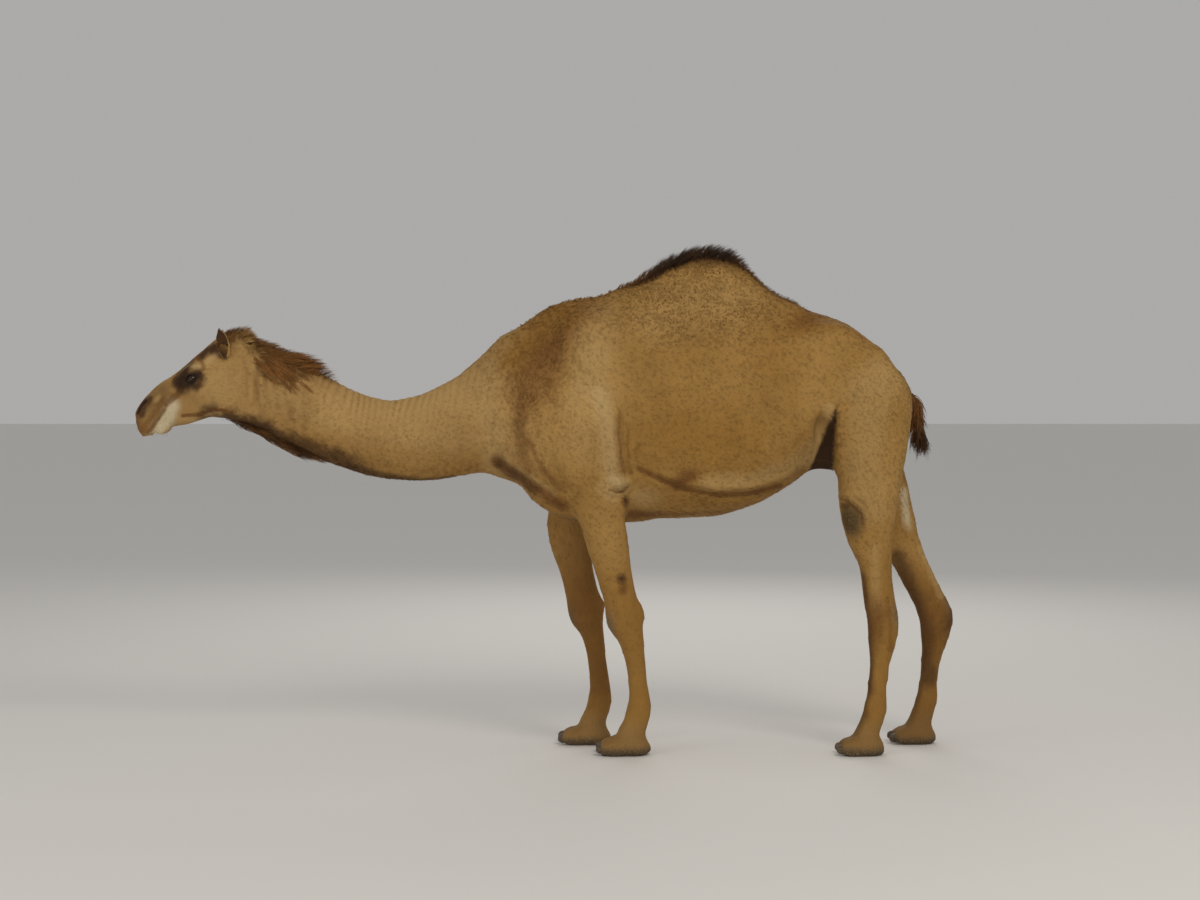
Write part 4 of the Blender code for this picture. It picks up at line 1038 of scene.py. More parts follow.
def tuftMesh(name, shape, draw):
    points, faces, shares, patches = [], [], [], []
    count, steps = shape["blades"], len(shape["path"])
    for blade in range(count):
        off = blade / (count - 1) - 0.5
        turn = math.radians(shape["fan"]) * draw.uniform(-1, 1)
        long = draw.uniform(0.72, 1.0)
        start = draw.uniform(-1, 1) * shape["stagger"]
        lift = draw.uniform(0.7, 1.25)
        bend = shape["curl"] * draw.choice((-1, 1)) * draw.uniform(0.6, 1.3)
        first = len(points)
        for step in range(steps):
            t, ring = bladeRing(shape, step, bend, long, lift)
            for x, y, z in ring:
                across = off * shape["spread"] * (1 - 0.4 * t)
                points.append((
                    start + x * math.cos(turn) - y * math.sin(turn),
                    across + x * math.sin(turn) + y * math.cos(turn),
                    z,
                ))
                shares.append(t)
                patches.append((0.1 + 0.8 * t, 0.5 + 0.8 * off * (1 - 0.4 * t), 0.0))
        faces += spikeFaces(first, steps - 1)
    mesh = solidOf(name, points, faces)
    store(mesh, "alongTuft", "FLOAT", shares)
    store(mesh, "tuftPatch", "FLOAT_VECTOR", patches)
    return bpy.data.objects.new(name, mesh)


def tuftKinds():
    draw = random.Random(7)
    kinds = {}
    for kind, shape in tuftShapes.items():
        group = bpy.data.collections.new("tufts " + kind)
        for i in range(tuftVariants):
            group.objects.link(tuftMesh(f"tuft {kind} {i}", shape, draw))
        kinds[kind] = group
    return kinds


# a node with its settings; an input given a socket is linked to it, any other is set
def nodeIn(tree, kind, inputs=None, **settings):
    node = tree.nodes.new(kind)
    for key, value in settings.items():
        setattr(node, key, value)
    for key, value in (inputs or {}).items():
        if isinstance(value, bpy.types.NodeSocket):
            tree.links.new(value, node.inputs[key])
        else:
            node.inputs[key].default_value = value
    return node


def mathOf(tree, operation, *values):
    return nodeIn(tree, "ShaderNodeMath", dict(enumerate(values)), operation=operation).outputs[0]


def vectorOf(tree, operation, *values):
    return nodeIn(tree, "ShaderNodeVectorMath", dict(enumerate(values)), operation=operation).outputs[0]


# the mix node keeps its sockets for vectors and for colours at these places
def mixOf(tree, kind, share, first, second):
    at, out = {"VECTOR": (4, 1), "RGBA": (6, 2)}[kind]
    return nodeIn(tree, "ShaderNodeMix", {0: share, at: first, at + 1: second}, data_type=kind).outputs[out]


def groupTree(name, kind, inputs, outputs):
    tree = bpy.data.node_groups.new(name, kind)
    for label, socket, value in inputs:
        made = tree.interface.new_socket(name=label, in_out="INPUT", socket_type="NodeSocket" + socket)
        if value is not None:
            made.default_value = value
    for label, socket in outputs:
        tree.interface.new_socket(name=label, in_out="OUTPUT", socket_type="NodeSocket" + socket)
    return tree, tree.nodes.new("NodeGroupInput").outputs, tree.nodes.new("NodeGroupOutput")


# Geometry Nodes: points scattered over the hide, a tuft on each, turned to the lie of the coat
def tuftTree():
    tree, given, out = groupTree(
        "lay tufts", "GeometryNodeTree",
        [
            ("Geometry", "Geometry", None), ("Tufts", "Collection", None),
            ("Per Square Metre", "Float", 5000.0), ("Yaw Spread", "Float", 0.3),
            ("Size Spread", "Float", 0.25), ("Patch", "Float", 0.003),
            ("Softness", "Float", 0.82), ("Seed", "Int", 1), ("Material", "Material", None),
        ],
        [("Geometry", "Geometry")],
    )

    def node(kind, inputs=None, **settings):
        return nodeIn(tree, kind, inputs, **settings)

    def named(name, kind="FLOAT_VECTOR"):
        return node("GeometryNodeInputNamedAttribute", {"Name": name}, data_type=kind).outputs["Attribute"]

    def chance(kind, seedShift, low, high):
        at = {"FLOAT_VECTOR": 0, "FLOAT": 2, "INT": 4}[kind]
        seed = mathOf(tree, "ADD", given["Seed"], seedShift)
        drawn = node("FunctionNodeRandomValue", {at: low, at + 1: high, "Seed": seed}, data_type=kind)
        return [o for o in drawn.outputs if o.enabled][0]

    def keep(geometry, name, kind, domain, value):
        inputs = {"Name": name, "Geometry": geometry, "Value": value}
        kept = node("GeometryNodeStoreNamedAttribute", inputs, data_type=kind, domain=domain)
        return kept.outputs["Geometry"]

    density = mathOf(tree, "MULTIPLY", given["Per Square Metre"], named("tuftShare", "FLOAT"))
    scatter = node(
        "GeometryNodeDistributePointsOnFaces",
        {"Mesh": given["Geometry"], "Density": density, "Seed": given["Seed"]},
    ).outputs
    turn = node(
        "FunctionNodeAxesToRotation",
        {"Primary Axis": named("lieWay"), "Secondary Axis": scatter["Normal"]},
        primary_axis="X", secondary_axis="Z",
    )
    yaw = chance("FLOAT", 11, mathOf(tree, "MULTIPLY", given["Yaw Spread"], -1.0), given["Yaw Spread"])
    angles = node("ShaderNodeCombineXYZ", {"Z": yaw, "Y": chance("FLOAT", 12, -0.1, 0.1)})
    angles = node("FunctionNodeEulerToRotation", {0: angles.outputs[0]})
    spin = node(
        "FunctionNodeRotateRotation",
        {"Rotation": turn.outputs[0], "Rotate By": angles.outputs[0]},
        rotation_space="LOCAL",
    )
    low, high = (mathOf(tree, way, 1.0, given["Size Spread"]) for way in ("SUBTRACT", "ADD"))
    size = mathOf(tree, "MULTIPLY", named("tuftLong", "FLOAT"), chance("FLOAT", 13, low, high))
    kinds = node("GeometryNodeCollectionInfo", {"Separate Children": True, "Collection": given["Tufts"]})
    kept = scatter["Points"]
    for name, kind, value in (
        ("tuftTone", "FLOAT", chance("FLOAT", 14, 0.0, 1.0)),
        ("rootNormal", "FLOAT_VECTOR", scatter["Normal"]),
        ("rootAt", "FLOAT_VECTOR", node("GeometryNodeInputPosition").outputs[0]),
        ("tuftNumber", "INT", node("GeometryNodeInputIndex").outputs[0]),
    ):
        kept = keep(kept, name, kind, "POINT", value)
    place = node("GeometryNodeInstanceOnPoints", {
        "Points": kept, "Instance": kinds.outputs[0], "Pick Instance": True,
        "Instance Index": chance("INT", 15, 0, tuftVariants - 1), "Rotation": spin.outputs[0], "Scale": size,
    })
    real = node("GeometryNodeRealizeInstances", {0: place.outputs[0]})
    # each tuft's own small patch, at its root's place on the unwrapped skin
    patch = vectorOf(tree, "MULTIPLY_ADD", named("tuftPatch"), given["Patch"], named("rootPlace"))
    mapped = keep(real.outputs[0], "OFBake", "FLOAT2", "CORNER", patch)
    # the blades shade mostly like the hide they lie on, so the coat looks soft
    own = node("GeometryNodeInputNormal").outputs["Normal"]
    softly = mixOf(tree, "VECTOR", given["Softness"], own, named("rootNormal"))
    soft = node(
        "GeometryNodeSetMeshNormal", {"Mesh": mapped, "Custom Normal": softly},
        mode="FREE", domain="POINT",
    )
    clad = node(
        "GeometryNodeSetMaterial",
        {"Geometry": soft.outputs["Mesh"], "Material": given["Material"]},
    )
    tree.links.new(clad.outputs[0], out.inputs["Geometry"])
    return tree


# which way the coat lies: back from the nose, down the legs; the first five add up
coatWays = {
    "body": (0.8, 0.05, -0.6), "neck": (0.35, 0.0, 0.25), "shoulder": (-0.35, 0.0, -0.3),
    "rump": (-0.3, 0.0, -0.25), "wool": (-0.25, 0.0, -0.15), "leg": (0.15, 0.0, -1.0),
    "combed": (-0.14, 0.0, -1.0),
}


def coatLie(points, normals):
    x, y, _ = points.T
    head, leg, _, wool = bodyShares(points)
    neck = (1 - head) * fall(-0.35, -0.12, x)
    shoulder = band(x, -0.35, -0.12, 0.12, 0.32)
    rump = ease(1.08, 1.25, x)

    def way(dx, dy, dz, share):
        return np.stack([dx * share, np.sign(y) * dy * share, dz * share], 1)

    lie = way(*coatWays["body"], np.ones(len(points)))
    for name, share in (("neck", neck), ("shoulder", shoulder), ("rump", rump), ("wool", wool)):
        lie += way(*coatWays[name], share)
    back = (-alongWay - aboveWay * 0.35)[None, :] * head[:, None] * 2.5
    lie = lie * (1 - head)[:, None] + back
    for name, share in (("leg", leg), ("combed", neckWrinkles(points, normals)[1])):
        lie = lie * (1 - share)[:, None] + way(*coatWays[name], share)
    swirl = cloudy(points, 0.12, 21) * 0.3 + cloudy(points, 0.035, 22) * 0.22
    lie += np.cross(normals, lie) * swirl[:, None]
    lie -= normals * np.sum(lie * normals, axis=1)[:, None]
    spare = np.cross(normals, [0.0, 1.0, 0.0])
    lie = np.where(np.linalg.norm(lie, axis=1)[:, None] > 0.05, lie, spare)
    return lie / np.maximum(np.linalg.norm(lie, axis=1)[:, None], 1e-6)


# the tufts' length: on the body, what other places add or take off, and the share the hollow takes
tuftLong = {
    "body": 0.018, "wool": 0.003, "belly": 0.004, "combed": 0.0085, "muzzle": 0.0062, "poll": 0.0055,
    "leg": 0.012, "shank": 0.003, "foot": 0.006, "hollow": 0.6, "curl": 0.0125,
}


def tuftLengths(points, normals):
    head, leg, foot, wool = bodyShares(points)
    long = tuftLong["body"] + tuftLong["wool"] * wool
    long = long + ease(0.2, 0.8, -normals[:, 2]) * tuftLong["belly"]
    long = long - ease(0.1, 0.5, neckWrinkles(points, normals)[1]) * tuftLong["combed"]
    face = tuftLong["muzzle"] + tuftLong["poll"] * fall(0.05, 0.3, onHead(points)[0])
    long += (face - long) * head
    long += (tuftLong["leg"] - tuftLong["shank"] * fall(0.2, 0.5, points[:, 2]) - long) * leg
    long = long * (1 - tuftLong["hollow"] * flankHollow(points + [0.025, 0, 0], 0.02))
    return long + (tuftLong["foot"] - long) * foot


# how far, in radians, the tufts of the coat turn from its lie
coatYaw = {"flat": 0.32, "wool": 0.9}
coatPieces = {
    # name: tuft kind, tufts to a square metre, seed
    "coatHead": ("flat", 16400, 31),
    "coatNeck": ("flat", 7400, 32),
    "coatShoulder": ("flat", 6600, 33),
    "coatHump": ("flat", 5200, 34),
    "coatFlank": ("flat", 5400, 35),
    "coatRump": ("flat", 6000, 36),
    "coatLegs": ("flat", 4050, 37),
    "woolHump": ("wool", 7600, 38),
    "woolShoulder": ("wool", 9000, 39),
}


def coatRegions(points):
    x, _, z = points.T
    region = np.where(x < 0.25, 2, np.where(x < 1.08, 4, 5))
    region = np.where((x > 0.18) & (x < 1.08) & (z > 1.45), 3, region)
    region = np.where(x < -0.22, 1, region)
    region = np.where((z < 0.98) & (x > -0.4) & ((x < 0.38) | (x > 1.0)), 6, region)
    return np.where(onHead(points)[0] > -0.02, 0, region)


# each tuft takes the markings of the hide at its root
def toneTufts(mesh):
    data = {name: mesh.attributes[name].data for name in ("tuftNumber", "rootAt", "rootNormal")}
    number = readFlat(data["tuftNumber"], "value", 1, np.int32)
    roots, normals = (readFlat(data[name], "vector").astype(float) for name in ("rootAt", "rootNormal"))
    first, back = np.unique(number, return_index=True, return_inverse=True)[1:]
    storeColour(mesh, markings(roots[first], normals[first])[back])


# what the tufts need while they are laid, and not after
tuftExtras = (
    "tuftShare", "tuftLong", "lieWay", "rootPlace", "tuftPatch", "bareShare",
    "rootNormal", "rootAt", "tuftNumber",
)


def layTufts(name, base, setting, look, share, long, ways, perMetre, seed, yaw, colour=None):
    tree, kinds, material = setting
    mesh = base.data.copy()
    if colour is not None:
        storeColour(mesh, colour)
    store(mesh, "tuftShare", "FLOAT", share)
    store(mesh, "tuftLong", "FLOAT", long)
    store(mesh, "lieWay", "FLOAT_VECTOR", ways)
    layer = mesh.uv_layers["OFBake"]
    flat = np.hstack([readFlat(layer.uv, "vector", 2), np.zeros((len(mesh.loops), 1), np.float32)])
    store(mesh, "rootPlace", "FLOAT_VECTOR", flat, "CORNER")
    mesh.uv_layers.remove(mesh.uv_layers["OFBake"])
    obj = shown(name, mesh)
    lay = modified(obj, "NODES", node_group=tree)
    ids = {s.name: s.identifier for s in tree.interface.items_tree if s.in_out == "INPUT"}
    for label, value in (
        ("Tufts", kinds[look]), ("Per Square Metre", float(perMetre)), ("Yaw Spread", yaw),
        ("Size Spread", 0.25), ("Seed", seed), ("Material", material),
    ):
        lay[ids[label]] = value
    mesh = applied(obj).data
    if colour is None and base is skin:
        toneTufts(mesh)
    for extra in tuftExtras:
        if extra in mesh.attributes:
            mesh.attributes.remove(mesh.attributes[extra])
    mesh.shade_smooth()
    say(f"{name}: {trianglesOf(mesh)} triangles")
    return obj


def layCoat(setting):
    points, normals = pointsOf(skin.data), normalsOf(skin.data)
    x, _, z = points.T
    lie, long = coatLie(points, normals), tuftLengths(points, normals)
    regions = coatRegions(points)
    head = bodyShares(points)[0]
    along, _, above = onHead(points)
    clear = np.ones(len(points))
    for middle in eyeMiddle.values():
        clear *= ease(0.98, 1.25, fromEye(points, middle))
    clear *= ease(0.0035, 0.007, nearLine(along, above, nostrilLine)[0])
    clear *= ease(0.003, 0.006, nearLine(along, above, mouthLine)[0]) * head + (1 - head)
    clear *= 1 - ease(0.5, 0.9, -normals[:, 2]) * (z < 0.03)
    clear *= 1 - barePads(points) * 0.9 * (z > 0.3)
    clear *= 1 - flankHollow(points) * 0.5
    patchy = 0.35 + 0.65 * ease(-0.3, 0.4, cloudy(points, 0.05, 41))
    curly = woolly(points)
    made = []
    for index, (name, (kind, perMetre, seed)) in enumerate(coatPieces.items()):
        share, size = (regions == index).astype(float) * clear, long
        if kind == "wool":
            behind = x > 0.16
            share = curly * (behind if name == "woolHump" else ~behind) * patchy
            size = np.full(len(points), tuftLong["curl"])
        rest = (lie, perMetre, seed, coatYaw[kind])
        made.append(layTufts(name, skin, setting, kind, share, size, *rest))
    return made


# ears: cupped leaves, their hollows outwards and a little forwards
earShape = {
    "along": 0.036, "out": 0.08, "above": 0.1, "tall": 0.112, "turn": 32, "lean": -15, "spread": 14,
    # share of the height, half width, depth of the cup, half the angle it wraps
    "stations": [
        (0.0, 0.017, 0.015, 150), (0.15, 0.024, 0.019, 128), (0.4, 0.031, 0.018, 104),
        (0.66, 0.029, 0.014, 88), (0.84, 0.0215, 0.009, 76), (0.95, 0.0125, 0.005, 66),
        (1.0, 0.004, 0.001, 60),
    ],
    "rows": 22, "around": 20, "thick": 0.0032,
}
earHair = {"perMetre": 26000, "seed": 58, "yaw": 0.4, "long": 0.009, "inside": 0.003}


def earMiddle(hand):
    return atHead(earShape["along"], hand * earShape["out"], earShape["above"])


def earBlank(hand):
    stations = np.array(earShape["stations"]).T
    rows, around = earShape["rows"], earShape["around"]
    points = []
    for t in np.arange(rows + 1) / rows:
        wide, deep, wrap = (np.interp(t, stations[0], row) for row in stations[1:])
        for i in range(around + 1):
            angle = math.radians(wrap) * (2 * i / around - 1)
            sway = 0.0022 * math.sin(t * 9 + i * 0.7) * t * (1 - t)
            cup = deep * math.cos(angle) + t * t * 0.006
            points.append((wide * math.sin(angle) + sway, -hand * cup, t * earShape["tall"]))
    mesh = meshOf("ear", points, gridFaces(rows + 1, around + 1))
    place = Matrix.Translation(Vector(earMiddle(hand)))
    for key, way, axis in (("lean", 1, "Y"), ("spread", -hand, "X"), ("turn", hand, "Z")):
        place = place @ Matrix.Rotation(math.radians(way * earShape[key]), 4, axis)
    mesh.transform(place)
    # the back of the ear faces away from its axis
    axis = place @ Vector((0, 0, earShape["tall"] / 2))
    return sheetTo(mesh, lambda face: face.calc_center_median() - axis)


def makeEars():
    ears = shown("ears", earBlank(-1))
    joinedInto(ears, [shown("ear", earBlank(1))])
    modified(ears, "SOLIDIFY", thickness=earShape["thick"], offset=-1)
    modified(ears, "SUBSURF", levels=1, render_levels=1)
    mesh = applied(ears).data
    mesh.shade_smooth()
    points, normals = pointsOf(mesh), normalsOf(mesh)
    hand = np.sign(points[:, 1])
    middle = np.where(hand[:, None] < 0, earMiddle(-1), earMiddle(1))
    up = points[:, 2] - middle[:, 2]
    axis = middle + np.stack([math.sin(math.radians(earShape["lean"])) * up, hand * up * 0.25, up], 1)
    inner = ease(-0.1, 0.4, -np.sum((points - axis) * normals, axis=1) / 0.012)
    high = np.clip(up / earShape["tall"], 0, 1)
    rag = cloudy(points, 0.01, 61) * 0.3
    colour = np.tile(tone["tan"], (len(points), 1))
    for share, name, strength in (
        (ease(0.3, 0.9, -normals[:, 0] + rag), "brown", 0.75),
        (ease(0.75, 1.0, high + rag * 0.4), "brown", 0.6),
        (inner, "dark", 0.95),
        (inner * fall(0.1, 0.6, high), "black", 0.5),
    ):
        colour = laid(colour, share, name, strength)
    storeColour(mesh, colour)
    store(mesh, "bareShare", "FLOAT", np.zeros(len(points)))
    unwrap(ears)
    return ears, inner, high, colour


def layEarHair(setting, ears, inner, high, colour):
    ways = unit(np.array([0.1, 0.0, 1.0]) + normalsOf(ears.data) * 0.05)
    share = (1 - inner * 0.75) * ease(0.02, 0.2, high)
    long = earHair["long"] + earHair["inside"] * inner
    rest = (ways, earHair["perMetre"], earHair["seed"], earHair["yaw"], colour)
    return layTufts("coatEars", ears, setting, "flat", share, long, *rest)


# long hair: where it grows, which way it sweeps, and how far the hair's solid says it reaches
longHair = {
    # name: node, tuft kind, share off the hide, way back, longest, tufts to a square metre, tones, seed
    "maneHair": ("nape_mane", "swept", 0.42, (0.9, 0.0, -0.1), 0.088, 24500, ("rust", "brown"), 51),
    "crestHair": ("hump_crest", "stand", 0.66, (0.6, 0.0, 0.12), 0.066, 22000, ("dark", "black"), 52),
    "throatHair": ("throat_fringe", "swept", 0.45, (0.85, 0.0, -0.12), 0.085, 24000, ("brown", "dark"), 53),
}
longYaw = 0.22
hangPatch = (-1.068, 1.535, 0.078, 0.048, -28)


# how far each place reaches, along its hair, to the far side of the hair's solid
def hairReach(points, ways, node, longest):
    solid = searchTree(frame["nodes"][node].data)
    low, high = (np.array(corner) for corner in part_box(node))
    near = np.nonzero(np.all((points > low - 0.06) & (points < high + 0.06), axis=1))[0]
    reach = np.zeros(len(points))
    for i in near:
        start, way, far = Vector(points[i]), Vector(ways[i]), 0.0
        while True:
            hit = solid.ray_cast(start + way * (far + 0.0005), way, longest - far)
            if hit[0] is None:
                break
            far += hit[3] + 0.0005
        reach[i] = far
    return reach


def mixed(first, second, share):
    return tone[first] * (1 - share) + tone[second] * share


# the mane also hangs down each side of the neck, and grows on its top where the solid is thin
def maneShares(points, ways, share, long, normals, reach):
    x, y, z = points.T
    share = share * (1 - 0.65 * ease(-0.97, -0.9, x))
    hang = markShare(hangPatch, 1, x, z, cloudy(points, 0.02, 57) * 0.5)
    hang = hang * (reach < 0.024) * (np.abs(normals[:, 1]) > 0.2)
    down = unit(np.array([0.75, 0.0, -0.62]) + normals * 0.1)
    ways = np.where(hang[:, None] > 0.02, down, ways)
    long = np.where(hang > 0.02, 0.07, long)
    top = band(x, -1.25, -1.215, -1.06, -1.0)
    top *= ease(0.3, 0.7, normals[:, 2]) * fall(0.03, 0.055, np.abs(y))
    share = np.maximum(np.maximum(share, hang * 0.6), top * 0.9)
    return ways, share, np.where(top > 0.1, np.maximum(long, 0.036), long)


# the throat's fringe thins out towards the jaw
def throatShares(points, ways, share, long, *_):
    x = points[:, 0]
    share = share * ease(-1.315, -1.28, x)
    return ways, share, long * (0.45 + 0.55 * ease(-1.3, -1.2, x))


# the hump's crest keeps to the middle, lower and sparser behind
def crestShares(points, ways, share, long, normals, *_):
    x, y, _ = points.T
    wide = 0.024 + 0.03 * ease(0.5, 0.66, x)
    share = share * fall(0.0, 0.016, np.abs(y) - wide + cloudy(points, 0.03, 92) * 0.005)
    top = band(x, 0.25, 0.33, 0.97, 1.04) * ease(0.2, 0.5, normals[:, 2])
    top *= fall(0.02, 0.048, np.abs(y) + cloudy(points, 0.03, 91) * 0.008)
    long = np.where(top > 0.1, np.maximum(long, 0.03), long)
    return ways, np.maximum(share, top * 0.9), long * (1 - 0.55 * ease(0.74, 0.86, x))


def layLongHair(setting):
    points, normals = pointsOf(skin.data), normalsOf(skin.data)
    x = points[:, 0]
    trims = {"maneHair": maneShares, "crestHair": crestShares, "throatHair": throatShares}
    made = []
    for name, (node, look, off, back, longest, perMetre, tones, seed) in longHair.items():
        swirl = cloudy(points, 0.05, seed)[:, None] * np.array([0.1, 0.25, 0.0])
        ways = unit(normals * off + np.array(back) + swirl)
        reach = hairReach(points, ways, node, longest * 1.6)
        share, long = ease(0.01, 0.022, reach), np.minimum(reach, longest)
        ways, share, long = trims[name](points, ways, share, long, normals, reach)
        colour = mixed(*tones, np.clip(0.5 + cloudy(points, 0.05, seed + 10) * 0.7, 0, 1)[:, None])
        if name == "crestHair":
            colour = laid(colour, ease(0.7, 0.9, x) + 1 - ease(0.3, 0.44, x), "brown", 0.85)
        rest = (np.maximum(long, 0.012), ways, perMetre, seed, longYaw, colour)
        made.append(layTufts(name, skin, setting, look, share, *rest))
    return made


# the fluffy hair of the poll, between and behind the ears
pollHair = {"perMetre": 22000, "seed": 84, "yaw": 0.5, "long": 0.03, "middle": 0.01}


def layPollHair(setting):
    points, normals = pointsOf(skin.data), normalsOf(skin.data)
    x, y, z = points.T
    share = band(x, -1.325, -1.295, -1.17, -1.12) * ease(0.15, 0.6, normals[:, 2])
    share *= fall(0.055, 0.09, np.abs(y) + cloudy(points, 0.02, 81) * 0.012)
    share *= ease(1.56, 1.59, z)
    swirl = cloudy(points, 0.04, 82)[:, None] * np.array([0.1, 0.35, 0.1])
    ways = unit(normals * 0.55 + np.array([0.75, 0.0, 0.1]) + swirl)
    long = pollHair["long"] + pollHair["middle"] * ease(-1.3, -1.24, x) * fall(-1.21, -1.17, x)
    mix = ease(-1.26, -1.2, x + cloudy(points, 0.02, 83) * 0.02)[:, None]
    colour = tone["brown"] * (1 - mix) + tone["tan"] * mix * 0.8
    rest = (ways, pollHair["perMetre"], pollHair["seed"], pollHair["yaw"], colour)
    return layTufts("pollHair", skin, setting, "swept", share, long, *rest)


# the end of the tail: a slim core, with locks that hang down it
tailShape = {
    "rows": 14, "around": 12, "wide": 0.014, "taper": 0.55, "above": 0.08, "short": 0.075,
    "perMetre": 26000, "seed": 55, "yaw": 0.5, "long": 0.085,
}


def tailCore():
    low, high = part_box("tail_tuft")
    top, bottom = high.z + tailShape["above"], low.z + tailShape["short"]
    rows, around = tailShape["rows"], tailShape["around"]
    ends = np.vstack([pointsOf(frame["nodes"][node].data) for node in ("tail_tuft", "tail")])
    points = []
    for j in range(rows + 1):
        t = j / rows
        height = top + (bottom - top) * t
        near = ends[np.abs(ends[:, 2] - height) < 0.03]
        centre = (near[:, :2].min(0) + near[:, :2].max(0)) / 2
        wide = tailShape["wide"] * (1 - tailShape["taper"] * t)
        wide = wide * (1 if 0 < j < rows else tailShape["taper"])
        for angle in 2 * math.pi * np.arange(around) / around:
            points.append((centre[0] + wide * math.cos(angle), centre[1] + wide * math.sin(angle), height))
    faces = gridFaces(rows + 1, around, laneRound=True)
    faces += [tuple(range(around)), tuple(range(rows * around, rows * around + around))]
    core = shown("tailHair", solidOf("tail core", points, faces))
    drop = ease(0, 0.16, top - np.array(points)[:, 2])[:, None]
    colour = tone["brown"] * 1.1 * (1 - drop) + tone["dark"] * 0.75 * drop
    storeColour(core.data, colour)
    store(core.data, "bareShare", "FLOAT", np.zeros(len(points)))
    unwrap(core)
    return core


def layTail(setting):
    core = tailCore()
    points, normals = pointsOf(core.data), normalsOf(core.data)
    low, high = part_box("tail_tuft")
    down = np.clip((high.z - points[:, 2]) / (high.z - low.z), 0, 1)
    ways = unit(np.array([0.1, 0.0, -1.0]) + normals * (0.22 - 0.1 * down)[:, None])
    long = np.minimum(tailShape["long"], points[:, 2] - low.z - 0.004)
    rest = (long, ways, tailShape["perMetre"], tailShape["seed"], tailShape["yaw"])
    return core, layTufts("tailLocks", core, setting, "swept", np.ones(len(points)), *rest)


# the faces of a ball of rings round an axis, between two poles
def ballFaces(first, rings, around):
    last = first + 1 + (rings - 1) * around
    faces = [(first, first + 1 + i, first + 1 + (i + 1) % around) for i in range(around)]
    faces += [
        tuple(first + 1 + corner for corner in face)
        for face in gridFaces(rings - 1, around, laneRound=True)
    ]
    return faces + [(last, last - around + (i + 1) % around, last - around + i) for i in range(around)]


# every place of such a ball: its angle from the first pole, near which a power crowds the rings,
# and its turn round the axis
def ballAngles(rings, around, power=1.0):
    for j in range(rings + 1):
        for i in range(1 if j in (0, rings) else around):
            yield math.pi * (j / rings) ** power, 2 * math.pi * i / around


# eyeballs: angles in degrees from the way the eye looks
eyeLook = {"iris": 34, "pupilWide": 19, "pupilTall": 8, "cornea": 0.001, "rings": 56, "around": 72}
eyeTone = {
    "pupil": np.array([0.004, 0.003, 0.003]), "inner": np.array([0.06, 0.027, 0.01]),
    "outer": np.array([0.03, 0.013, 0.006]), "edge": np.array([0.01, 0.006, 0.005]),
    "white": np.array([0.11, 0.075, 0.052]),
}


def makeEyes():
    rings, around = eyeLook["rings"], eyeLook["around"]
    points, faces, colours = [], [], []
    for side, middle in eyeMiddle.items():
        outwards, forwards, upwards = eyeWays(side)
        faces += ballFaces(len(points), rings, around)
        for angle, turn in ballAngles(rings, around, 1.5):
            rim = forwards * math.cos(turn) + upwards * math.sin(turn)
            far = eyeRadius + eyeLook["cornea"] * bell(angle, 0.45)
            points.append(middle + (outwards * math.cos(angle) + rim * math.sin(angle)) * far)
            degrees = math.degrees(angle)
            wide = degrees * math.cos(turn) / eyeLook["pupilWide"]
            tall = degrees * math.sin(turn) / eyeLook["pupilTall"]
            ring = degrees / eyeLook["iris"]
            fibre = 1 + 0.22 * math.sin(turn * 17 + 2.0 * math.sin(turn * 5))
            colour = eyeTone["inner"] * fibre * max(0, 1 - ring) + eyeTone["outer"] * min(ring, 1)
            for name, share in (
                ("white", ease(0.97, 1.12, ring)), ("edge", bell(ring - 1.0, 0.1)),
                ("pupil", fall(0.88, 1.12, math.hypot(wide, tall))),
            ):
                colour = colour * (1 - share) + eyeTone[name] * share
            colours.append(colour)
    eyes = shown("eyeballs", solidOf("eyeballs", points, faces))
    storeColour(eyes.data, np.array(colours), "eyeColour")
    unwrap(eyes)
    return eyes


# lashes and whiskers: thin closed spikes
lashes = {
    # row: how many, how long, how thick
    "upper": (46, 0.02, 0.00052), "lower": (30, 0.009, 0.0004), "whiskers": (64, 0.026, 0.0003),
    # row: first and last angle round the lid, how far it droops and curls up
    "upperRow": (14, 168, -0.55, 0.28), "lowerRow": (-158, -22, -0.45, -0.1),
}


def addSpike(made, root, way, bend, long, wide, uv):
    points, faces, places = made
    way = unit(way)
    across = unit(np.cross(way, bend + np.array([0.01, 0.02, 0.0])))
    deep = np.cross(way, across)
    steps = 5
    faces.extend(spikeFaces(len(points), steps))
    for step in range(steps):
        t = step / steps
        middle = root + way * long * t + bend * long * t * t
        size = wide * (1 - t) ** 0.7
        for turn in (0, 120, 240):
            angle = math.radians(turn)
            points.append(middle + (across * math.cos(angle) + deep * math.sin(angle)) * size)
            places.append((uv[0] + 0.003 * t, uv[1] + 0.0012 * turn / 240))
    points.append(root + way * long + bend * long)
    places.append((uv[0] + 0.003, uv[1] + 0.0006))


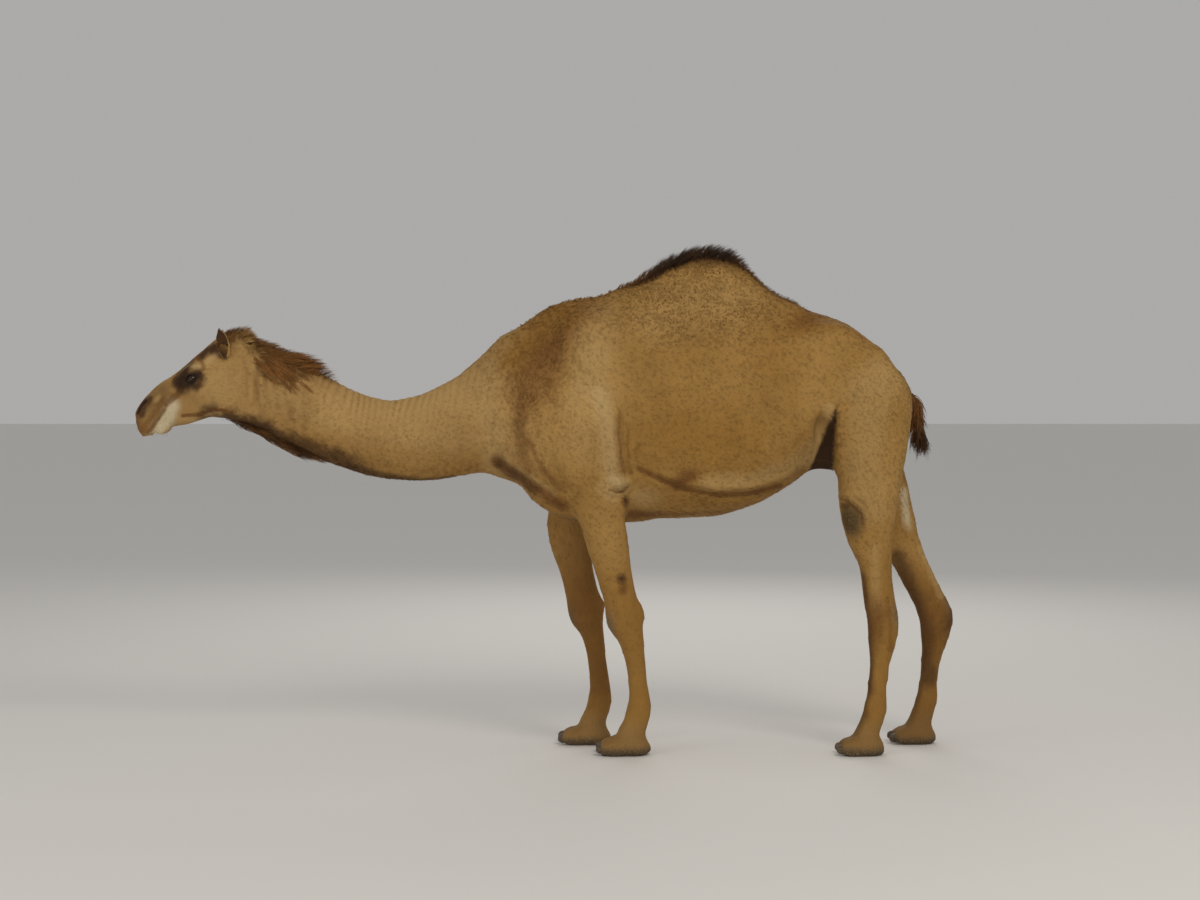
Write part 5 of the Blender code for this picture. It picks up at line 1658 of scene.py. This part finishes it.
def makeLashes():
    nearest = searchTree(skin.data)
    uv = skin.data.uv_layers["OFBake"].uv

    def placeOf(point):
        face = nearest.find_nearest(Vector(point))[2]
        return uv[skin.data.polygons[face].loop_start].vector

    draw = random.Random(23)
    made = ([], [], [])
    for side, middle in eyeMiddle.items():
        outwards, forwards, upwards = eyeWays(side)
        for row in ("upper", "lower"):
            count, long, wide = lashes[row]
            low, high, droop, lift = lashes[row + "Row"]
            for i in range(count):
                turn = math.radians(low + (high - low) * (i + draw.uniform(-0.3, 0.3)) / (count - 1))
                across, tall = lidEdge(turn)
                way = unit(outwards + forwards * math.tan(across) + upwards * math.tan(tall))
                root = middle + way * (eyeRadius * 1.05 + draw.uniform(0.0002, 0.001))
                out = way * 0.8 + outwards * 0.45 + upwards * (droop + draw.uniform(-0.12, 0.12))
                out = out + forwards * draw.uniform(-0.15, 0.15)
                size = long * (0.62 + 0.38 * abs(math.sin(turn))) * draw.uniform(0.8, 1.05)
                addSpike(made, root, out, upwards * lift, size, wide, placeOf(root))
    count, long, wide = lashes["whiskers"]
    for i in range(count):
        hand = -1 if i % 2 else 1
        along, above = draw.uniform(0.36, 0.5), draw.uniform(-0.045, 0.055)
        start = Vector(atHead(along, hand * 0.12, above))
        hit, normal = nearest.ray_cast(start, Vector((0, -hand, 0)), 0.12)[:2]
        if hit is None:
            continue
        root = np.array(hit) - np.array(normal) * 0.001
        out = np.array(normal) + alongWay * 0.3 - aboveWay * 0.5
        size = long * draw.uniform(0.5, 1.1)
        addSpike(made, root, out, np.array([0.0, 0.0, -0.25]), size, wide, placeOf(root))
    points, faces, places = made
    obj = shown("lashes", solidOf("lashes", points, faces))
    layer = obj.data.uv_layers.new(name="OFBake")
    corners = readFlat(obj.data.loops, "vertex_index", 1, np.int32)
    layer.uv.foreach_set("vector", np.array(places, np.float32)[corners].ravel())
    storeColour(obj.data, np.tile(tone["black"], (len(points), 1)))
    return obj


# toenails: one broad nail at the front of each toe
nailShape = {"rings": 26, "around": 32, "back": 0.024, "long": 0.0245, "over": 0.0006, "toe": 0.0035}


def makeNails():
    points, faces = [], []
    rings, around = nailShape["rings"], nailShape["around"]
    nodes = [name for name in frame["nodes"] if "_nail_" in name]
    for node in nodes:
        low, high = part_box(node)
        middle = np.array([low.x + nailShape["back"], (low.y + high.y) / 2, (low.z + high.z) / 2])
        half = np.array([(high.y - low.y) / 2, (high.z - low.z) / 2]) + nailShape["over"]
        size = np.array([nailShape["long"], *half])
        faces += ballFaces(len(points), rings, around)
        for angle, turn in ballAngles(rings, around):
            flat, up = math.sin(angle), math.cos(angle)
            way = np.array([flat * math.cos(turn), flat * math.sin(turn), up])
            ridge = 1 + 0.01 * math.sin(up * 26) + 0.006 * math.sin(turn * 14)
            # blunt at the tip, flat below, drawn forwards low down
            blunt = np.sign(way) * np.abs(way) ** np.array([0.9, 0.85, 0.95])
            point = middle + blunt * size * ridge
            point[0] -= nailShape["toe"] * max(0, -way[0]) * max(0, -up)
            point[2] = max(point[2], low.z + 0.0005)
            points.append(point)
    nails = shown("toenails", solidOf("toenails", points, faces))
    unwrap(nails)
    return nails, nodes


# plain pale studio: floor, soft light, and the camera at standing eye height
studio = {
    "away": 9.0, "eyeHeight": 1.5, "offset": 0.208, "lens": 67.5, "tilt": 1.909, "sensor": 36.0,
    "floor": (0.8, 0.785, 0.765, 1), "sky": (0.87, 0.86, 0.84, 1), "skyLight": 0.47,
}
# lamps: place from the animal's middle, height aimed at, size, power, colour
lamps = {
    "key": ((3.2, -5.5, 6.2), 1.2, 3.0, 170, (1.0, 0.93, 0.81)),
    "fill": ((-5.5, -5.0, 2.6), 1.2, 4.0, 62, (1.0, 0.98, 0.95)),
    "low": ((-1.5, -10.5, 0.7), 1.0, 3.0, 122, (1.0, 0.96, 0.88)),
    "rim": ((1.0, 6.0, 4.5), 1.2, 4.0, 75, (1.0, 0.97, 0.92)),
}


def lamp(name, place, aim, size, power, colour):
    light = bpy.data.lights.new(name, "AREA")
    light.shape, light.size, light.energy, light.color = "DISK", size, power, colour
    obj = shown(name, light)
    obj.location = place
    obj.rotation_euler = (Vector(aim) - Vector(place)).to_track_quat("-Z", "Y").to_euler()


def setStudio():
    middle = (cadLow + cadHigh) / 2
    bm = bmesh.new()
    bmesh.ops.create_grid(bm, x_segments=1, y_segments=1, size=60)
    mesh = closed(bm, bpy.data.meshes.new("floor"))
    floor = shown("floor", mesh)
    mesh.transform(Matrix.Translation((middle.x, middle.y, cadLow.z - 0.0004)))
    pale = bpy.data.materials.new("pale floor")
    pale.use_nodes = True
    surface = pale.node_tree.nodes["Principled BSDF"].inputs
    surface["Base Color"].default_value, surface["Roughness"].default_value = studio["floor"], 0.9
    mesh.materials.append(pale)
    world = bpy.data.worlds.new("studio")
    world.use_nodes = True
    sky = world.node_tree.nodes["Background"].inputs
    sky["Color"].default_value, sky["Strength"].default_value = studio["sky"], studio["skyLight"]
    scene = bpy.context.scene
    scene.world = world
    scene.view_settings.view_transform = "Standard"
    for name, ((x, y, z), height, size, power, colour) in lamps.items():
        lamp(name, (middle.x + x, y, z), (middle.x, middle.y, height), size, power, colour)
    camera = bpy.data.cameras.new("camera")
    camera.sensor_width, camera.lens, camera.clip_end = studio["sensor"], studio["lens"], 200
    obj = shown("camera", camera)
    obj.location = (middle.x + studio["offset"], middle.y - studio["away"], cadLow.z + studio["eyeHeight"])
    obj.rotation_euler = (math.radians(90 - studio["tilt"]), 0, 0)
    scene.camera = obj


# finishes: the groups hold what skin and hair share
def noiseOf(tree, where, scale, detail=3.0, rough=0.55):
    inputs = {"Vector": where, "Scale": scale, "Detail": detail, "Roughness": rough}
    return nodeIn(tree, "ShaderNodeTexNoise", inputs).outputs["Fac"]


def spread(tree, value, low, high, toLow, toHigh):
    inputs = {"Value": value, "From Min": low, "From Max": high, "To Min": toLow, "To Max": toHigh}
    return nodeIn(tree, "ShaderNodeMapRange", inputs).outputs["Result"]


def scaled(tree, value, by):
    return nodeIn(tree, "ShaderNodeVectorMath", {0: value, "Scale": by}, operation="SCALE").outputs[0]


# the coat's colour with uneven dust and bleaching, in soft clouds and fine grain
def coatToneGroup():
    group, given, out = groupTree(
        "coat tone", "ShaderNodeTree",
        [
            ("Color", "Color", None), ("Place", "Vector", None), ("Unevenness", "Float", 0.1),
            ("Grain", "Float", 0.12), ("Wool", "Float", 0.0),
        ],
        [("Color", "Color")],
    )

    def uneven(scale, detail, amount):
        around = mathOf(group, "SUBTRACT", noiseOf(group, given["Place"], scale, detail), 0.5)
        return mathOf(group, "MULTIPLY", around, given[amount])

    both = mathOf(group, "ADD", uneven(7.0, 3.0, "Unevenness"), uneven(190.0, 2.0, "Grain"))
    by = mathOf(group, "ADD", mathOf(group, "MULTIPLY", both, 2.0), 1.0)
    # between the woolly curls the coat is dark
    tall = vectorOf(group, "MULTIPLY", given["Place"], (1.0, 1.0, 0.6))
    gaps = spread(group, noiseOf(group, tall, 150.0, 1.0, 0.4), 0.32, 0.46, 0.62, 0.0)
    shade = mathOf(group, "MULTIPLY", gaps, given["Wool"])
    shade = mixOf(group, "VECTOR", shade, (1.0, 1.0, 1.0), (0.3, 0.16, 0.02))
    warm = vectorOf(group, "MULTIPLY", scaled(group, given["Color"], by), shade)
    group.links.new(warm, out.inputs["Color"])
    return group


# fine short hair as a height
def hairGrainGroup():
    group, given, out = groupTree(
        "hair grain", "ShaderNodeTree", [("Place", "Vector", None), ("Fineness", "Float", 1.0)],
        [("Height", "Float")],
    )
    place = scaled(group, given["Place"], given["Fineness"])
    fine = mathOf(group, "MULTIPLY", noiseOf(group, place, 620.0, 2.0, 0.6), 0.5)
    clumps = mathOf(group, "MULTIPLY", noiseOf(group, place, 150.0, 2.0), 0.8)
    group.links.new(mathOf(group, "ADD", fine, clumps), out.inputs["Height"])
    return group


groups = {"tone": coatToneGroup(), "grain": hairGrainGroup()}


sheenLook = {"Sheen Roughness": 0.45, "Sheen Tint": (1.0, 0.86, 0.62, 1)}


def startFinish(name, rough, sheen=0.0, shine=0.12, **more):
    made = bpy.data.materials.new(name)
    made.use_nodes = True
    tree = made.node_tree
    surface = tree.nodes["Principled BSDF"].inputs
    look = {"Roughness": rough, "Specular IOR Level": shine, **more}
    if sheen:
        look = {**look, "Sheen Weight": sheen, **sheenLook}
    for label, value in look.items():
        surface[label].default_value = value
    return made, tree, surface, tree.nodes.new("ShaderNodeTexCoord").outputs["Object"]


def attributeOf(tree, name, output="Fac"):
    return nodeIn(tree, "ShaderNodeAttribute", attribute_name=name).outputs[output]


def grainOf(tree, place, fineness):
    inputs = {"Place": place, "Fineness": fineness}
    return nodeIn(tree, "ShaderNodeGroup", inputs, node_tree=groups["grain"]).outputs["Height"]


def tonedOf(tree, name, place, unevenness, grain, wool=None):
    colour = attributeOf(tree, name, "Color")
    inputs = {"Color": colour, "Place": place, "Unevenness": unevenness, "Grain": grain}
    if wool:
        inputs["Wool"] = attributeOf(tree, wool)
    return nodeIn(tree, "ShaderNodeGroup", inputs, node_tree=groups["tone"]).outputs["Color"]


def bumpOf(tree, surface, height, distance, strength):
    inputs = {"Height": height, "Distance": distance, "Strength": strength}
    tree.links.new(nodeIn(tree, "ShaderNodeBump", inputs).outputs[0], surface["Normal"])


# hide under the hair, and bare on the callused pads
def hideFinish():
    made, tree, surface, place = startFinish("hide", 0.82, 0.04)
    toned = tonedOf(tree, "coatColour", place, 0.08, 0.2, "woolShare")
    bare = attributeOf(tree, "bareShare")
    inputs = {"Scale": 85.0, "Vector": place}
    cracks = nodeIn(tree, "ShaderNodeTexVoronoi", inputs, feature="DISTANCE_TO_EDGE")
    crack = spread(tree, cracks.outputs["Distance"], 0.0, 0.16, 0.0, 1.0)
    tall = vectorOf(tree, "MULTIPLY", place, (1.0, 1.0, 0.35))
    worn = spread(tree, noiseOf(tree, tall, 110.0, 2.0), 0.38, 0.56, 0.25, 1.0)
    crack = mathOf(tree, "MULTIPLY", crack, worn)
    dark = mathOf(tree, "MULTIPLY", mathOf(tree, "SUBTRACT", 1.0, crack), mathOf(tree, "MULTIPLY", bare, 0.5))
    tree.links.new(scaled(tree, toned, mathOf(tree, "SUBTRACT", 1.0, dark)), surface["Base Color"])
    raised = mathOf(tree, "MULTIPLY", mathOf(tree, "MULTIPLY", crack, bare), 2.6)
    bumpOf(tree, surface, mathOf(tree, "ADD", grainOf(tree, place, 1.0), raised), 0.0012, 0.8)
    return made


# hair: darker at the roots, bleached at the tips, each tuft a little unlike the next
def hairFinish(name, rootDark, tipLight, uneven, sheen):
    made, tree, surface, place = startFinish(name, 0.78, sheen)
    toned = tonedOf(tree, "coatColour", place, 0.08, 0.1, "woolShare")
    along = spread(tree, attributeOf(tree, "alongTuft"), 0.0, 0.9, rootDark, tipLight)
    each = spread(tree, attributeOf(tree, "tuftTone"), 0.0, 1.0, 1 - uneven, 1 + uneven)
    tree.links.new(scaled(tree, toned, mathOf(tree, "MULTIPLY", along, each)), surface["Base Color"])
    bumpOf(tree, surface, grainOf(tree, place, 1.6), 0.0006, 0.5)
    return made


def eyeFinish():
    wet = {"Coat Weight": 0.22, "Coat Roughness": 0.02}
    made, tree, surface, place = startFinish("wet eye", 0.06, shine=0.2, **wet)
    tree.links.new(tonedOf(tree, "eyeColour", place, 0.0, 0.25), surface["Base Color"])
    return made


# horn, streaked from root to tip
def hornFinish():
    made, tree, surface, place = startFinish("horn", 0.38, shine=0.3)
    long = vectorOf(tree, "MULTIPLY", place, (0.5, 3.2, 0.35))
    streaks = noiseOf(tree, long, 120.0, 3.0)
    both = mathOf(tree, "ADD", streaks, noiseOf(tree, place, 40.0, 2.0))
    share = spread(tree, mathOf(tree, "MULTIPLY", both, 0.5), 0.36, 0.64, 0.0, 1.0)
    horn = mixOf(tree, "RGBA", share, (0.035, 0.024, 0.016, 1), (0.15, 0.105, 0.066, 1))
    tree.links.new(horn, surface["Base Color"])
    bumpOf(tree, surface, streaks, 0.001, 0.7)
    return made


def dress():
    hide = hideFinish()
    skin.data.materials.append(hide)
    kinds, tree = tuftKinds(), tuftTree()
    shortSetting = (tree, kinds, hairFinish("short hair", 1.0, 1.07, 0.05, 0.06))
    longFinish = hairFinish("long hair", 0.75, 1.4, 0.22, 0.04)
    longSetting = (tree, kinds, longFinish)
    coat = layCoat(shortSetting)
    manes = layLongHair(longSetting)
    core, locks = layTail(longSetting)
    ears, *earLook = makeEars()
    earTufts = layEarHair(shortSetting, ears, *earLook)
    poll = layPollHair(longSetting)
    spikes = makeLashes()
    eyes = makeEyes()
    nails, nailNodes = makeNails()
    for piece, finish in (
        (core, longFinish), (ears, hide), (spikes, longFinish), (eyes, eyeFinish()), (nails, hornFinish()),
    ):
        piece.data.materials.append(finish)
    slots = {
        "eye": [eyes], "toenail": [nails], "coat": [skin, *coat, ears, earTufts],
        "dark_hair": [poll, spikes, *manes, core, locks],
    }
    for slot, pieces in slots.items():
        for piece in pieces:
            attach(piece, "root")
    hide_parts("eye_left", "eye_right")
    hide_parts(*nailNodes)
    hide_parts(*fleshNodes)
    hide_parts("ear_left", "ear_right")
    for piece, (node, *_) in zip(manes, longHair.values()):
        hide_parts(node)
    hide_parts("tail_tuft")


dress()
setStudio()
